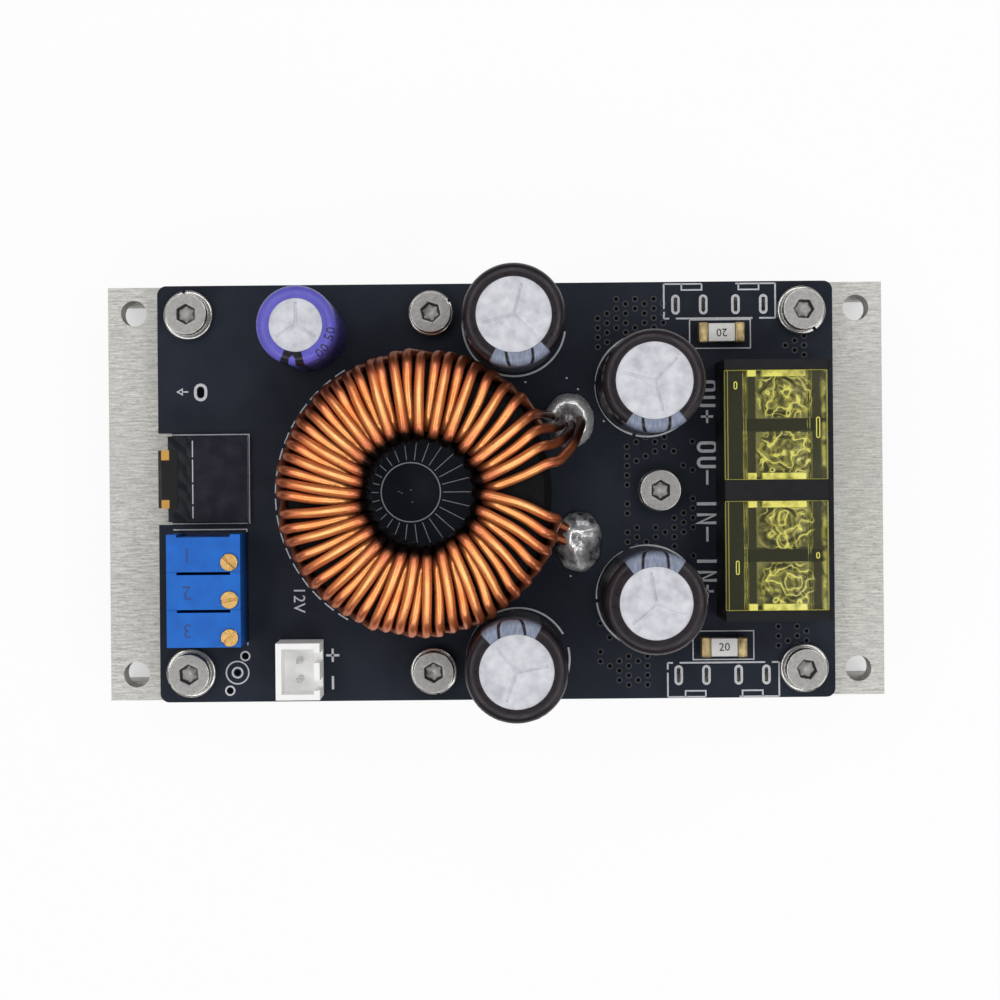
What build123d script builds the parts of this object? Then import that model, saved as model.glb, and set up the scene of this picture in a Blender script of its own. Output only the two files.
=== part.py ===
from build123d import *
import math
import os

# A buck-boost converter module. A circuit board with its coil, capacitors,
# trimmers, display, fuses and screw terminals is screwed down on a finned
# aluminium heatsink. Lengths are in millimetres, +Z is up, +X runs along the
# board towards the terminals, and the origin is the middle of the base.

# Heatsink
PLATE_LENGTH = 105.0
PLATE_WIDTH = 56.0
PLATE_THICK = 4.0
FIN_HEIGHT = 13.0
FIN_THICK = 1.6
FIN_COUNT = 10
FIN_ROOT_RADIUS = 0.6
FIN_TIP_BEVEL = 0.3
MOUNT_INSET = 3.5
MOUNT_HOLE_RADIUS = 1.75

# Board
BOARD_LENGTH = 90.0
BOARD_WIDTH = 55.5
BOARD_THICK = 1.6
BOARD_CORNER = 1.2
BOARD_GAP = 4.0
NOTCH_DEPTH = 1.8
NOTCH_LENGTH = 12.2
LEAD_HOLE_CLEARANCE = 0.08
LEAD_TAIL = 1.4
PAD_SLOT_WIDTH = 0.6
PAD_SLOT_LENGTH = 2.05
PAD_SLOT_X = (24.1, 27.8, 32.1, 35.8)
PAD_SLOT_Y = 24.7

# Screws that hold the board down
SCREW_INSET_X = 4.2
SCREW_INSET_Y = 3.95
EDGE_SCREW_X = -8.5
MIDDLE_SCREW_X = 21.7
SCREW_RADIUS = 1.5
SCREW_LENGTH = 10.0
SCREW_CLEARANCE = 0.1
THREAD_CLEARANCE = 0.03
HEAD_RADIUS = 2.75
HEAD_HEIGHT = 2.4
HEAD_BEVEL = 0.25
HEX_SIZE = 2.5
HEX_DEPTH = 1.3
WASHER_RADIUS = 3.05
WASHER_THICK = 0.8
WASHER_GAP = 0.45
# Where each spring washer is split, in degrees, in the order of the screws
WASHER_SPLITS = (-150, 100, -60, -56, 35, -80, -68)
STANDOFF_SIZE = 5.0

# Coil
COIL_X = -9.8
CORE_OUTER_RADIUS = 16.85
CORE_INNER_RADIUS = 9.2
CORE_HEIGHT = 11.2
CORE_EDGE = 1.0
WIRE_RADIUS = 0.65
WIRE_SIDES = 6
STRANDS = 4
TURNS = 14
LAYER_STEP = 1.35
LAYER_RISE = 1.35
WIRE_BEND = 1.1
COIL_LIFT = 0.1
INNER_TWIST = 8.0
OUTER_TWIST = 14.0
OUTER_SLACK = 0.15
# Inner and outer angle, in degrees round the coil, of some of the crossings
# over the core, as counted from the first. The others lie evenly between.
CROSSINGS = (
    (0, 5, 13), (7, 62, 66), (14, 110, 106), (21, 148, 143), (28, 185, 181),
    (35, 230, 227), (42, 271, 267), (49, 314, 307), (55, 359, 349),
)

# The two mounds of solder that hold the coil's ends,
# with the half lengths of each along X and Y, and an outline from the foot up
# to the crown as shares of those and of the height
JOINT_UPPER = (9.8, 9.4)
JOINT_LOWER = (10.85, -6.75)
JOINT_UPPER_REACH = (3.4, 3.7)
JOINT_LOWER_REACH = (3.25, 4.1)
JOINT_HEIGHT = 3.0
JOINT_OUTLINE = ((1.0, 0.0), (0.93, 0.45), (0.6, 0.87), (0.2, 1.0))
# The first end of each strand: its hole, then points up to the coil's top edge
# with their heights above the board
FIRST_HOLES = ((11.3, 9.5), (10.0, 8.9), (8.7, 9.3), (7.4, 9.9))
FIRST_LEADS = (
    ((11.2, 8.6, 4.0), (10.0, 6.1, 9.6), (7.9, 3.9, 13.6)),
    ((9.8, 8.0, 5.0), (8.7, 6.8, 8.6), (7.2, 6.0, 12.0)),
    ((8.6, 8.7, 4.6), (7.7, 8.3, 8.0), (6.3, 8.2, 11.5)),
    ((7.1, 9.9, 4.2), (6.2, 10.0, 7.5), (5.0, 10.1, 11.0)),
)
LAST_HOLES = ((11.33, -7.55), (9.81, -7.07), (11.79, -6.13), (10.27, -5.65))

# Capacitors
CAN_RADIUS = 6.5
CAN_HEIGHT = 20.0
CAN_DISC_RADIUS = 4.8
SMALL_CAN_RADIUS = 5.0
SMALL_CAN_HEIGHT = 20.0
SMALL_CAN_DISC_RADIUS = 3.45
SLEEVE_WALL = 0.25
CAN_SHOULDER = 1.0
GROOVE_Z = 2.4
GROOVE_HALF = 0.8
GROOVE_DEPTH = 0.6
VENT_WIDTH = 0.35
VENT_DEPTH = 0.2
VENT_REACH = 0.82
CAN_LEAD_RADIUS = 0.4
CAN_LEAD_PITCH = 5.0
# Place, and the angle of one arm of the three-armed vent
CANS = ((2.3, 22.3, 75), (2.3, -22.3, 130), (19.8, 13.9, 45), (19.8, -13.9, 100))
SMALL_CAN = (-24.9, 21.2, 90)

# Trimmers, placed from the board's left end and front edge
TRIMMER_LENGTH = 9.53
TRIMMER_WIDTH = 4.83
TRIMMER_HEIGHT = 9.6
TRIMMER_FEET = 0.4
TRIMMER_AIR = 0.04
TRIMMER_INSET_X = 7.1
TRIMMER_INSET_Y = 15.35
TRIMMER_COUNT = 3
TRIMMER_RELIEF = 0.35
TRIMMER_RIB = 1.3
TRIMMER_SHELF = 1.5
ADJUSTER_RADIUS = 1.1
ADJUSTER_INSET_X = 1.4
ADJUSTER_INSET_Y = 1.25
ADJUSTER_DEPTH = 6.0
ADJUSTER_PROUD = 0.4
ADJUSTER_CLEARANCE = 0.05
ADJUSTER_END_GAP = 0.3
ADJUSTER_SLOT = 0.5
ADJUSTER_SLOT_DEPTH = 0.6
ADJUSTER_TURNS = (135, 10, 45)
PIN_RADIUS = 0.25
PIN_PITCH = 2.54

# Display, placed from the board's left end and front edge
GLASS_INSET_X = 6.7
GLASS_INSET_Y = 29.75
GLASS_LENGTH = 10.6
GLASS_WIDTH = 11.4
GLASS_THICK = 0.7
COVER_GLASS_THICK = 0.6
GLASS_LEDGE = 2.6
TAPE_THICK = 0.35
FLEX_WIDTH = 7.7
FLEX_THICK = 0.15
FLEX_TAIL = 5.0
FLEX_BEND = 0.8

# Fan header, placed from the board's left end and front edge
HEADER_INSET_X = 18.9
HEADER_INSET_Y = 4.55
HEADER_DEPTH = 5.75
HEADER_LENGTH = 7.4
HEADER_HEIGHT = 7.0
HEADER_WALL = 0.75
HEADER_FLOOR = 1.6
HEADER_PITCH = 2.5
HEADER_PIN = 0.64
HEADER_PIN_TOP = 5.4
HEADER_SLOT = 1.3
HEADER_SLOT_SPACING = 3.6

# Fuses
FUSE_X = 30.0
FUSE_Y = 20.85
FUSE_LENGTH = 6.1
FUSE_WIDTH = 2.7
FUSE_HEIGHT = 2.6
FUSE_CAP = 1.3
FUSE_WAIST = 0.15

# Screw terminals
BLOCK_X = 29.3
BLOCK_DEPTH = 14.0
BLOCK_PITCH = 7.62
BLOCK_AIR = 0.28
BLOCK_WALL_TOP = 10.9
BLOCK_BACK = 2.4
BLOCK_FLOOR = 4.4
BLOCK_STEP = 3.0
BLOCK_STEP_DEPTH = 2.4
END_WALL = 1.3
MIDDLE_WALL = 1.6
COVER_DEPTH = 13.2
COVER_THICK = 1.0
COVER_FIT = 0.06
COVER_RIB = 0.6
COVER_RIB_DROP = 1.0
COVER_RIB_IN = 2.55
COVER_CHANNEL = 8.2
COVER_LEG = 0.8
COVER_LEG_DROP = 2.2
COVER_LEG_WIDTH = 5.6
COVER_TAB_IN = 2.95
COVER_TAB_WIDTH = 1.1
COVER_TAB_DROP = 1.6
CONTACT_THICK = 0.8
CONTACT_DEPTH = 8.0
CONTACT_AIR = 0.1
CLAMP_X = 36.9
CLAMP_HEAD_RADIUS = 2.6
CLAMP_HEAD_HEIGHT = 2.2
CLAMP_SHANK_RADIUS = 1.5
CLAMP_SHANK = 3.6
CLAMP_WASHER = 5.9
CLAMP_WASHER_THICK = 0.8
CLAMP_CROSS = 0.7
CLAMP_CROSS_SHORT = 0.7
CLAMP_CROSS_DEPTH = 0.9
CONTACT_PIN_RADIUS = 0.55
CONTACT_PIN_BACK = 2.6

# Parts under the board
SWITCH_LENGTH = 5.0
SWITCH_WIDTH = 6.0
SWITCH_HEIGHT = 1.0
SWITCH_X = (16.5, 27.0)
SWITCH_Y = 7.2
HEAT_PAD_MARGIN = 0.6
CHIP_SIZE = 7.0
CHIP_HEIGHT = 1.4
CHIP_PLACE = (-16.0, 4.0)
DRIVER_SIZE = (4.9, 3.9, 1.5)
DRIVER_PLACE = (0.0, 7.0)
SENSE_SIZE = (6.4, 3.2, 0.7)
SENSE_PLACE = (29.0, 17.3)

BASE_Z = FIN_HEIGHT
PLATE_Z = BASE_Z + PLATE_THICK
UNDER_Z = PLATE_Z + BOARD_GAP
TOP_Z = UNDER_Z + BOARD_THICK
BOARD_HALF = BOARD_LENGTH / 2
FRONT_Y = -BOARD_WIDTH / 2
TRIMMER_X = TRIMMER_INSET_X - BOARD_HALF
TRIMMER_Y = TRIMMER_INSET_Y + FRONT_Y
GLASS_X = GLASS_INSET_X - BOARD_HALF
GLASS_Y = GLASS_INSET_Y + FRONT_Y
HEADER_X = HEADER_INSET_X - BOARD_HALF
HEADER_Y = HEADER_INSET_Y + FRONT_Y
FIN_PITCH = (PLATE_WIDTH - FIN_THICK) / (FIN_COUNT - 1)
CORNER_SCREW_X = BOARD_HALF - SCREW_INSET_X
SCREW_Y = BOARD_WIDTH / 2 - SCREW_INSET_Y
SCREWS = [(sx * CORNER_SCREW_X, sy * SCREW_Y) for sx in (-1, 1) for sy in (-1, 1)]
SCREWS += [(EDGE_SCREW_X, SCREW_Y), (EDGE_SCREW_X, -SCREW_Y), (MIDDLE_SCREW_X, 0.0)]
SIDES = (1, -1)
BLOCK_LENGTH = 2 * (BLOCK_PITCH + END_WALL + BLOCK_AIR) - MIDDLE_WALL
BLOCK_Y = {"output": BLOCK_LENGTH / 2, "input": -BLOCK_LENGTH / 2}

os.makedirs("parts", exist_ok=True)


def save(node, solids):
    """Writes one node, from one solid or a list of separate ones."""
    pieces = solids if isinstance(solids, list) else [solids]
    export_step(Compound(children=pieces) if len(pieces) > 1 else pieces[0], f"parts/{node}.step")


def slab(x, y, z):
    """A block between the low and high values given for each direction."""
    size = (x[1] - x[0], y[1] - y[0], z[1] - z[0])
    middle = ((x[0] + x[1]) / 2, (y[0] + y[1]) / 2, (z[0] + z[1]) / 2)
    return Pos(*middle) * Box(*size)


def rod(place, low, high, radius):
    """An upright cylinder at a place, from the low to the high level."""
    return Pos(place[0], place[1], (low + high) / 2) * Cylinder(radius, high - low)


def turned(outline):
    """A solid turned about Z from points that give radius and height."""
    return revolve(Plane.XZ * make_face(Polyline(*outline, close=True)), Axis.Z)


def heatsink():
    """An extruded plate with fins along X, four mounting holes and tapped holes."""
    half = PLATE_WIDTH / 2
    points = [(-half, PLATE_Z)]
    for i in range(FIN_COUNT):
        left = -half + i * FIN_PITCH
        right = left + FIN_THICK
        if i:
            points.append((left, BASE_Z))
        points += [(left, FIN_TIP_BEVEL), (left + FIN_TIP_BEVEL, 0)]
        points += [(right - FIN_TIP_BEVEL, 0), (right, FIN_TIP_BEVEL)]
        if i < FIN_COUNT - 1:
            points.append((right, BASE_Z))
    points.append((half, PLATE_Z))
    profile = make_face(Polyline(*points, close=True))
    roots = [v for v in profile.vertices() if abs(v.Y - BASE_Z) < 1e-6]
    profile = fillet(roots, FIN_ROOT_RADIUS)
    body = Pos(-PLATE_LENGTH / 2, 0, 0) * extrude(Plane.YZ * profile, PLATE_LENGTH)
    mount_x = PLATE_LENGTH / 2 - MOUNT_INSET
    mount_y = PLATE_WIDTH / 2 - MOUNT_INSET
    for sx in SIDES:
        for sy in SIDES:
            body -= rod((sx * mount_x, sy * mount_y), BASE_Z, PLATE_Z, MOUNT_HOLE_RADIUS)
    for place in SCREWS:
        body -= rod(place, BASE_Z, PLATE_Z, SCREW_RADIUS + THREAD_CLEARANCE)
    return body


def can_leads(place):
    """Where the two leads of a capacitor pass the board."""
    return [(place[0] + side * CAN_LEAD_PITCH / 2, place[1]) for side in SIDES]


def trimmer_rows():
    """The middle of each trimmer in Y, from the display side down."""
    step = TRIMMER_WIDTH + TRIMMER_AIR
    return [TRIMMER_Y + (1 - i) * step for i in range(TRIMMER_COUNT)]


def trimmer_pins(row):
    """Where the three pins of a trimmer pass the board."""
    return [(TRIMMER_X + i * PIN_PITCH, row) for i in (-1, 0, 1)]


def header_pins():
    """Where the two pins of the fan header pass the board."""
    return [(HEADER_X, HEADER_Y + side * HEADER_PITCH / 2) for side in SIDES]


def contact_pins(side):
    """Where the four pins of one terminal block pass the board."""
    back = CLAMP_X - CONTACT_PIN_BACK
    front = CLAMP_X + CONTACT_PIN_BACK
    rows = [BLOCK_Y[side] + s * BLOCK_PITCH / 2 for s in SIDES]
    return [(x, y) for y in rows for x in (back, front)]


def board():
    """The board with its notch, screw holes, slotted pads and lead holes."""
    outline = RectangleRounded(BOARD_LENGTH, BOARD_WIDTH, BOARD_CORNER)
    notch = Pos(-BOARD_HALF, GLASS_Y) * Rectangle(2 * NOTCH_DEPTH, NOTCH_LENGTH)
    holes = [Pos(*place) * Circle(SCREW_RADIUS + SCREW_CLEARANCE) for place in SCREWS]
    for side in SIDES:
        for x in PAD_SLOT_X:
            slot = SlotOverall(PAD_SLOT_LENGTH, PAD_SLOT_WIDTH, rotation=90)
            holes.append(Pos(x, side * PAD_SLOT_Y) * slot)
    leads = [(p, CAN_LEAD_RADIUS) for can in CANS + (SMALL_CAN,) for p in can_leads(can)]
    leads += [(p, PIN_RADIUS) for row in trimmer_rows() for p in trimmer_pins(row)]
    leads += [(p, CONTACT_PIN_RADIUS) for side in BLOCK_Y for p in contact_pins(side)]
    leads += [(p, HEADER_PIN / math.sqrt(2)) for p in header_pins()]
    leads += [(p, WIRE_RADIUS) for p in FIRST_HOLES + LAST_HOLES]
    holes += [Pos(*place) * Circle(radius + LEAD_HOLE_CLEARANCE) for place, radius in leads]
    return Pos(0, 0, UNDER_Z) * extrude(outline - notch - holes, BOARD_THICK)


def board_screw(place):
    """A socket screw with a bevelled head and a six-sided socket."""
    seat = TOP_Z + WASHER_THICK
    crown = seat + HEAD_HEIGHT
    head = turned([
        (0, seat), (HEAD_RADIUS, seat), (HEAD_RADIUS, crown - HEAD_BEVEL),
        (HEAD_RADIUS - HEAD_BEVEL, crown), (0, crown),
    ])
    socket = extrude(RegularPolygon(HEX_SIZE / 2, 6, major_radius=False), HEX_DEPTH)
    head -= Pos(0, 0, crown - HEX_DEPTH) * socket
    shank = rod((0, 0), seat - SCREW_LENGTH, seat, SCREW_RADIUS)
    return Pos(place[0], place[1], 0) * (head + shank)


def board_washer(place, angle):
    """A split spring washer between a screw head and the board."""
    high = TOP_Z + WASHER_THICK
    washer = rod(place, TOP_Z, high, WASHER_RADIUS)
    washer -= rod(place, TOP_Z, high, SCREW_RADIUS + SCREW_CLEARANCE)
    split = Pos(WASHER_RADIUS / 2, 0, TOP_Z + WASHER_THICK / 2) * Box(WASHER_RADIUS, WASHER_GAP, WASHER_THICK)
    return washer - Pos(place[0], place[1], 0) * Rot(0, 0, angle) * split


def standoff(place):
    """A six-sided spacer between the heatsink and the board."""
    post = extrude(RegularPolygon(STANDOFF_SIZE / 2, 6, major_radius=False), BOARD_GAP)
    post = Pos(place[0], place[1], PLATE_Z) * post
    return post - rod(place, PLATE_Z, UNDER_Z, SCREW_RADIUS + SCREW_CLEARANCE)


def coil_levels():
    """Centre lines of the strands under the core, and of those over it."""
    low = TOP_Z + COIL_LIFT + WIRE_RADIUS + LAYER_RISE
    return low, low + CORE_HEIGHT + 2 * WIRE_RADIUS


def core():
    """The ring core, with bevelled edges."""
    low = coil_levels()[0] + WIRE_RADIUS
    high = low + CORE_HEIGHT
    outer, inner, edge = CORE_OUTER_RADIUS, CORE_INNER_RADIUS, CORE_EDGE
    ring = turned([
        (inner + edge, low), (outer - edge, low), (outer, low + edge), (outer, high - edge),
        (outer - edge, high), (inner + edge, high), (inner, high - edge), (inner, low + edge),
    ])
    return Pos(COIL_X, 0, 0) * ring


def crossing(count):
    """Inner and outer angle of the strand that crosses the core at that count."""
    for (k0, *low), (k1, *high) in zip(CROSSINGS, CROSSINGS[1:]):
        if count <= k1:
            share = (count - k0) / (k1 - k0)
            return [a + share * (b - a) for a, b in zip(low, high)]
    return CROSSINGS[-1][1:]


def on_coil(angle, radius, level):
    """A point at an angle, radius and level about the coil's own axis."""
    turn = math.radians(angle)
    return Vector(COIL_X + radius * math.cos(turn), radius * math.sin(turn), level)


def strand_path(strand):
    """The corner points of one strand, from its first solder joint to its last.

    Each turn crosses over the core from outside, drops inside, comes back
    underneath and climbs outside to its next crossing. Every second strand
    lies in the inner layer and climbs over its neighbour on the way in.
    """
    low, high = coil_levels()
    layer = strand % 2
    rise = layer * LAYER_RISE
    inner = CORE_INNER_RADIUS - WIRE_RADIUS - layer * LAYER_STEP
    outer = CORE_OUTER_RADIUS + WIRE_RADIUS + OUTER_SLACK
    tail = UNDER_Z - LEAD_TAIL
    points = [Vector(*FIRST_HOLES[strand], tail), Vector(*FIRST_HOLES[strand], TOP_Z + JOINT_HEIGHT / 2)]
    points += [Vector(x, y, TOP_Z + height) for x, y, height in FIRST_LEADS[strand]]
    for turn in range(TURNS):
        inside, outside = crossing(STRANDS * turn + strand)
        if turn:
            points.append(on_coil(outside - OUTER_TWIST, outer, low))
            points.append(on_coil(outside, outer, high - WIRE_BEND))
        points += [
            on_coil(outside, outer - WIRE_BEND, high),
            on_coil(inside, inner + WIRE_BEND, high + rise),
            on_coil(inside, inner, high + rise - WIRE_BEND),
            on_coil(inside + INNER_TWIST, inner, low - rise),
        ]
    return points + [Vector(*LAST_HOLES[strand], low - rise), Vector(*LAST_HOLES[strand], tail)]


def wire(path):
    """A wire of straight runs along corner points, mitred at every corner.

    The corners of its section start round the first point and are carried
    along each run to the next mitre, so that every side face stays flat.
    """
    runs = [(b - a).normalized() for a, b in zip(path, path[1:])]
    first = Plane(origin=path[0], z_dir=runs[0])
    section = RegularPolygon(WIRE_RADIUS, WIRE_SIDES).face().outer_wire()
    rings = [[first.from_local_coords(Vector(v)) for v in section.vertices()]]
    for i, run in enumerate(runs, 1):
        across = run + (runs[i] if i < len(runs) else run)
        rings.append([
            p + run * ((path[i] - p).dot(across) / run.dot(across)) for p in rings[-1]
        ])
    corners = [rings[0], rings[-1]]
    for before, after in zip(rings, rings[1:]):
        for k in range(WIRE_SIDES):
            corners.append([before[k - 1], before[k], after[k], after[k - 1]])
    return Solid(Shell([Face(Wire.make_polygon(points, close=True)) for points in corners]))


def solder_joint(joint, reach, strands):
    """An oval mound of solder that closes round the strands of one coil end."""
    rings = [(share, JOINT_HEIGHT * height) for share, height in JOINT_OUTLINE]
    mound = scale(turned([(0, 0), *rings, (0, JOINT_HEIGHT)]), by=(*reach, 1))
    return Pos(joint[0], joint[1], TOP_Z) * mound - strands


def capacitor(radius, height, disc_radius, vent_angle):
    """The sealed can with its vent, and the sleeve shrunk round it, at the origin."""
    top = TOP_Z + height
    can_top = top - SLEEVE_WALL
    groove = TOP_Z + GROOVE_Z
    can_radius = radius - GROOVE_DEPTH - SLEEVE_WALL
    sleeve = turned([
        (can_radius, TOP_Z), (radius, TOP_Z), (radius, groove - GROOVE_HALF),
        (radius - GROOVE_DEPTH, groove), (radius, groove + GROOVE_HALF),
        (radius, top - CAN_SHOULDER), (radius - CAN_SHOULDER, top), (disc_radius, top),
        (disc_radius, can_top), (can_radius, can_top),
    ])
    can = rod((0, 0), TOP_Z, can_top, can_radius)
    reach = VENT_REACH * disc_radius
    for turn in (0, 120, 240):
        arm = Pos(reach / 2, 0, can_top - VENT_DEPTH / 2) * Box(reach, VENT_WIDTH, VENT_DEPTH)
        can -= Rot(0, 0, vent_angle + turn) * arm
    return can, sleeve


def can_lead_pair(place):
    """The two leads of one capacitor, from its can down through the board."""
    return [rod(p, UNDER_Z - LEAD_TAIL, TOP_Z, CAN_LEAD_RADIUS) for p in can_leads(place)]


def adjuster_place(row):
    """The axis of a trimmer's adjusting screw."""
    x = TRIMMER_X + TRIMMER_LENGTH / 2 - ADJUSTER_INSET_X
    return x, row - TRIMMER_WIDTH / 2 + ADJUSTER_INSET_Y


def trimmer_top():
    """The level of a trimmer's top face."""
    return TOP_Z + TRIMMER_FEET + TRIMMER_HEIGHT


def trimmer_body(row):
    """A trimmer's housing: relieved sides, two feet and the adjuster's bore."""
    x0 = TRIMMER_X - TRIMMER_LENGTH / 2
    x1 = TRIMMER_X + TRIMMER_LENGTH / 2
    y0 = row - TRIMMER_WIDTH / 2
    y1 = row + TRIMMER_WIDTH / 2
    top = trimmer_top()
    body = slab((x0, x1), (y0, y1), (TOP_Z + TRIMMER_FEET, top))
    relief = (TOP_Z + TRIMMER_FEET + TRIMMER_SHELF, top)
    body -= slab((x0 + TRIMMER_RIB, x1 - TRIMMER_RIB), (y1 - TRIMMER_RELIEF, y1), relief)
    for low, high in ((x0, x0 + TRIMMER_RIB), (x1 - TRIMMER_RIB, x1)):
        body += slab((low, high), (y0, y1), (TOP_Z, TOP_Z + TRIMMER_FEET))
    bore = ADJUSTER_RADIUS + ADJUSTER_CLEARANCE
    return body - rod(adjuster_place(row), top - ADJUSTER_DEPTH, top, bore)


def adjuster(row, turn):
    """A brass adjusting screw with a straight slot, in its housing's bore."""
    place = adjuster_place(row)
    crown = trimmer_top() + ADJUSTER_PROUD
    foot = trimmer_top() - ADJUSTER_DEPTH + ADJUSTER_END_GAP
    screw = rod((0, 0), foot, crown, ADJUSTER_RADIUS)
    slot = Box(3 * ADJUSTER_RADIUS, ADJUSTER_SLOT, ADJUSTER_SLOT_DEPTH)
    screw -= Pos(0, 0, crown - ADJUSTER_SLOT_DEPTH / 2) * Rot(0, 0, turn) * slot
    return Pos(place[0], place[1], 0) * screw


def strip(path, thick, width, middle):
    """A bent strip of even thickness along points in X and Z, centred on a Y."""
    half = thick / 2
    points = [Vector(x, 0, z) for x, z in path]
    runs = [(b - a).normalized() for a, b in zip(points, points[1:])]
    left, right = [], []
    for i, point in enumerate(points):
        before = runs[max(i - 1, 0)]
        after = runs[min(i, len(runs) - 1)]
        mitre = (before + after).normalized()
        out = Vector(-mitre.Z, 0, mitre.X) * (half / mitre.dot(after))
        left.append(point + out)
        right.append(point - out)
    outline = [(p.X, p.Z) for p in left + right[::-1]]
    face = Plane.XZ * make_face(Polyline(*outline, close=True))
    return Pos(0, middle, 0) * extrude(face, width / 2, both=True)


def display():
    """The display's glass with its ledge, the tape under it and the flat cable."""
    x0 = GLASS_X - GLASS_LENGTH / 2
    x1 = GLASS_X + GLASS_LENGTH / 2
    y = (GLASS_Y - GLASS_WIDTH / 2, GLASS_Y + GLASS_WIDTH / 2)
    tape_top = TOP_Z + TAPE_THICK
    ledge_top = tape_top + GLASS_THICK
    glass = slab((x0, x1), y, (tape_top, ledge_top))
    glass += slab((x0 + GLASS_LEDGE, x1), y, (ledge_top, ledge_top + COVER_GLASS_THICK))
    tape = slab((-BOARD_HALF + NOTCH_DEPTH, x1), y, (TOP_Z, tape_top))
    over = ledge_top + FLEX_THICK / 2
    under = UNDER_Z - FLEX_THICK / 2
    edge = -BOARD_HALF + FLEX_THICK / 2
    path = [
        (x0 + GLASS_LEDGE / 2, over), (x0 - FLEX_BEND, over), (edge, over - FLEX_BEND),
        (edge, under + FLEX_BEND), (edge + FLEX_BEND, under),
        (-BOARD_HALF + NOTCH_DEPTH + FLEX_TAIL, under),
    ]
    return glass, tape, strip(path, FLEX_THICK, FLEX_WIDTH, GLASS_Y)


def header_shell():
    """The fan header's shell: an open box with two slots in one wall."""
    x = (HEADER_X - HEADER_DEPTH / 2, HEADER_X + HEADER_DEPTH / 2)
    y = (HEADER_Y - HEADER_LENGTH / 2, HEADER_Y + HEADER_LENGTH / 2)
    top = TOP_Z + HEADER_HEIGHT
    wall = HEADER_WALL
    shell = slab(x, y, (TOP_Z, top))
    floor = TOP_Z + HEADER_FLOOR
    shell -= slab((x[0] + wall, x[1] - wall), (y[0] + wall, y[1] - wall), (floor, top))
    for side in SIDES:
        middle = HEADER_Y + side * HEADER_SLOT_SPACING / 2
        gap = (middle - HEADER_SLOT / 2, middle + HEADER_SLOT / 2)
        shell -= slab((x[1] - wall, x[1]), gap, (floor, top))
    for place in header_pins():
        shell -= header_pin(place)
    return shell


def header_pin(place):
    """A square pin that stands in the fan header."""
    half = HEADER_PIN / 2
    x = (place[0] - half, place[0] + half)
    y = (place[1] - half, place[1] + half)
    return slab(x, y, (UNDER_Z - LEAD_TAIL, TOP_Z + HEADER_PIN_TOP))


def fuse(y):
    """A fuse: a ceramic body between two metal end caps."""
    inner = FUSE_LENGTH / 2 - FUSE_CAP
    half = FUSE_WIDTH / 2
    body_half = half - FUSE_WAIST
    body = slab(
        (FUSE_X - inner, FUSE_X + inner), (y - body_half, y + body_half),
        (TOP_Z + FUSE_WAIST, TOP_Z + FUSE_HEIGHT - FUSE_WAIST),
    )
    caps = []
    for side in SIDES:
        low, high = sorted((FUSE_X + side * inner, FUSE_X + side * FUSE_LENGTH / 2))
        caps.append(slab((low, high), (y - half, y + half), (TOP_Z, TOP_Z + FUSE_HEIGHT)))
    return body, caps


def clamp_rows(side):
    """The two clamp screws of one terminal block, in Y."""
    return [BLOCK_Y[side] + s * BLOCK_PITCH / 2 for s in SIDES]


def contact_level():
    """The level of a contact plate's top face."""
    return TOP_Z + BLOCK_FLOOR + CONTACT_THICK


def terminal_body(side):
    """A terminal block's housing: back wall, end walls, a barrier and two floors."""
    middle = BLOCK_Y[side]
    y = (middle - BLOCK_LENGTH / 2, middle + BLOCK_LENGTH / 2)
    x = (BLOCK_X, BLOCK_X + BLOCK_DEPTH)
    wall_top = TOP_Z + BLOCK_WALL_TOP
    body = slab(x, y, (TOP_Z, wall_top))
    bays = ((y[0] + END_WALL, middle - MIDDLE_WALL / 2), (middle + MIDDLE_WALL / 2, y[1] - END_WALL))
    step_x = x[1] - BLOCK_STEP_DEPTH
    for bay in bays:
        body -= slab((x[0] + BLOCK_BACK, x[1]), bay, (TOP_Z + BLOCK_FLOOR, wall_top))
        body -= slab((step_x, x[1]), bay, (TOP_Z + BLOCK_STEP, TOP_Z + BLOCK_FLOOR))
    lip_top = wall_top + COVER_THICK
    lips = ((y[0], y[0] + END_WALL), (y[1] - END_WALL, y[1]))
    for lip in lips:
        body += slab((x[0], x[0] + COVER_DEPTH), lip, (wall_top, lip_top))
    for row in clamp_rows(side):
        hole = CLAMP_SHANK_RADIUS + SCREW_CLEARANCE
        floor = TOP_Z + BLOCK_FLOOR
        body -= rod((CLAMP_X, row), floor - CLAMP_SHANK + CONTACT_THICK, floor, hole)
    for place in contact_pins(side):
        body -= rod(place, TOP_Z, TOP_Z + BLOCK_FLOOR, CONTACT_PIN_RADIUS + LEAD_HOLE_CLEARANCE)
    return body


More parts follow.
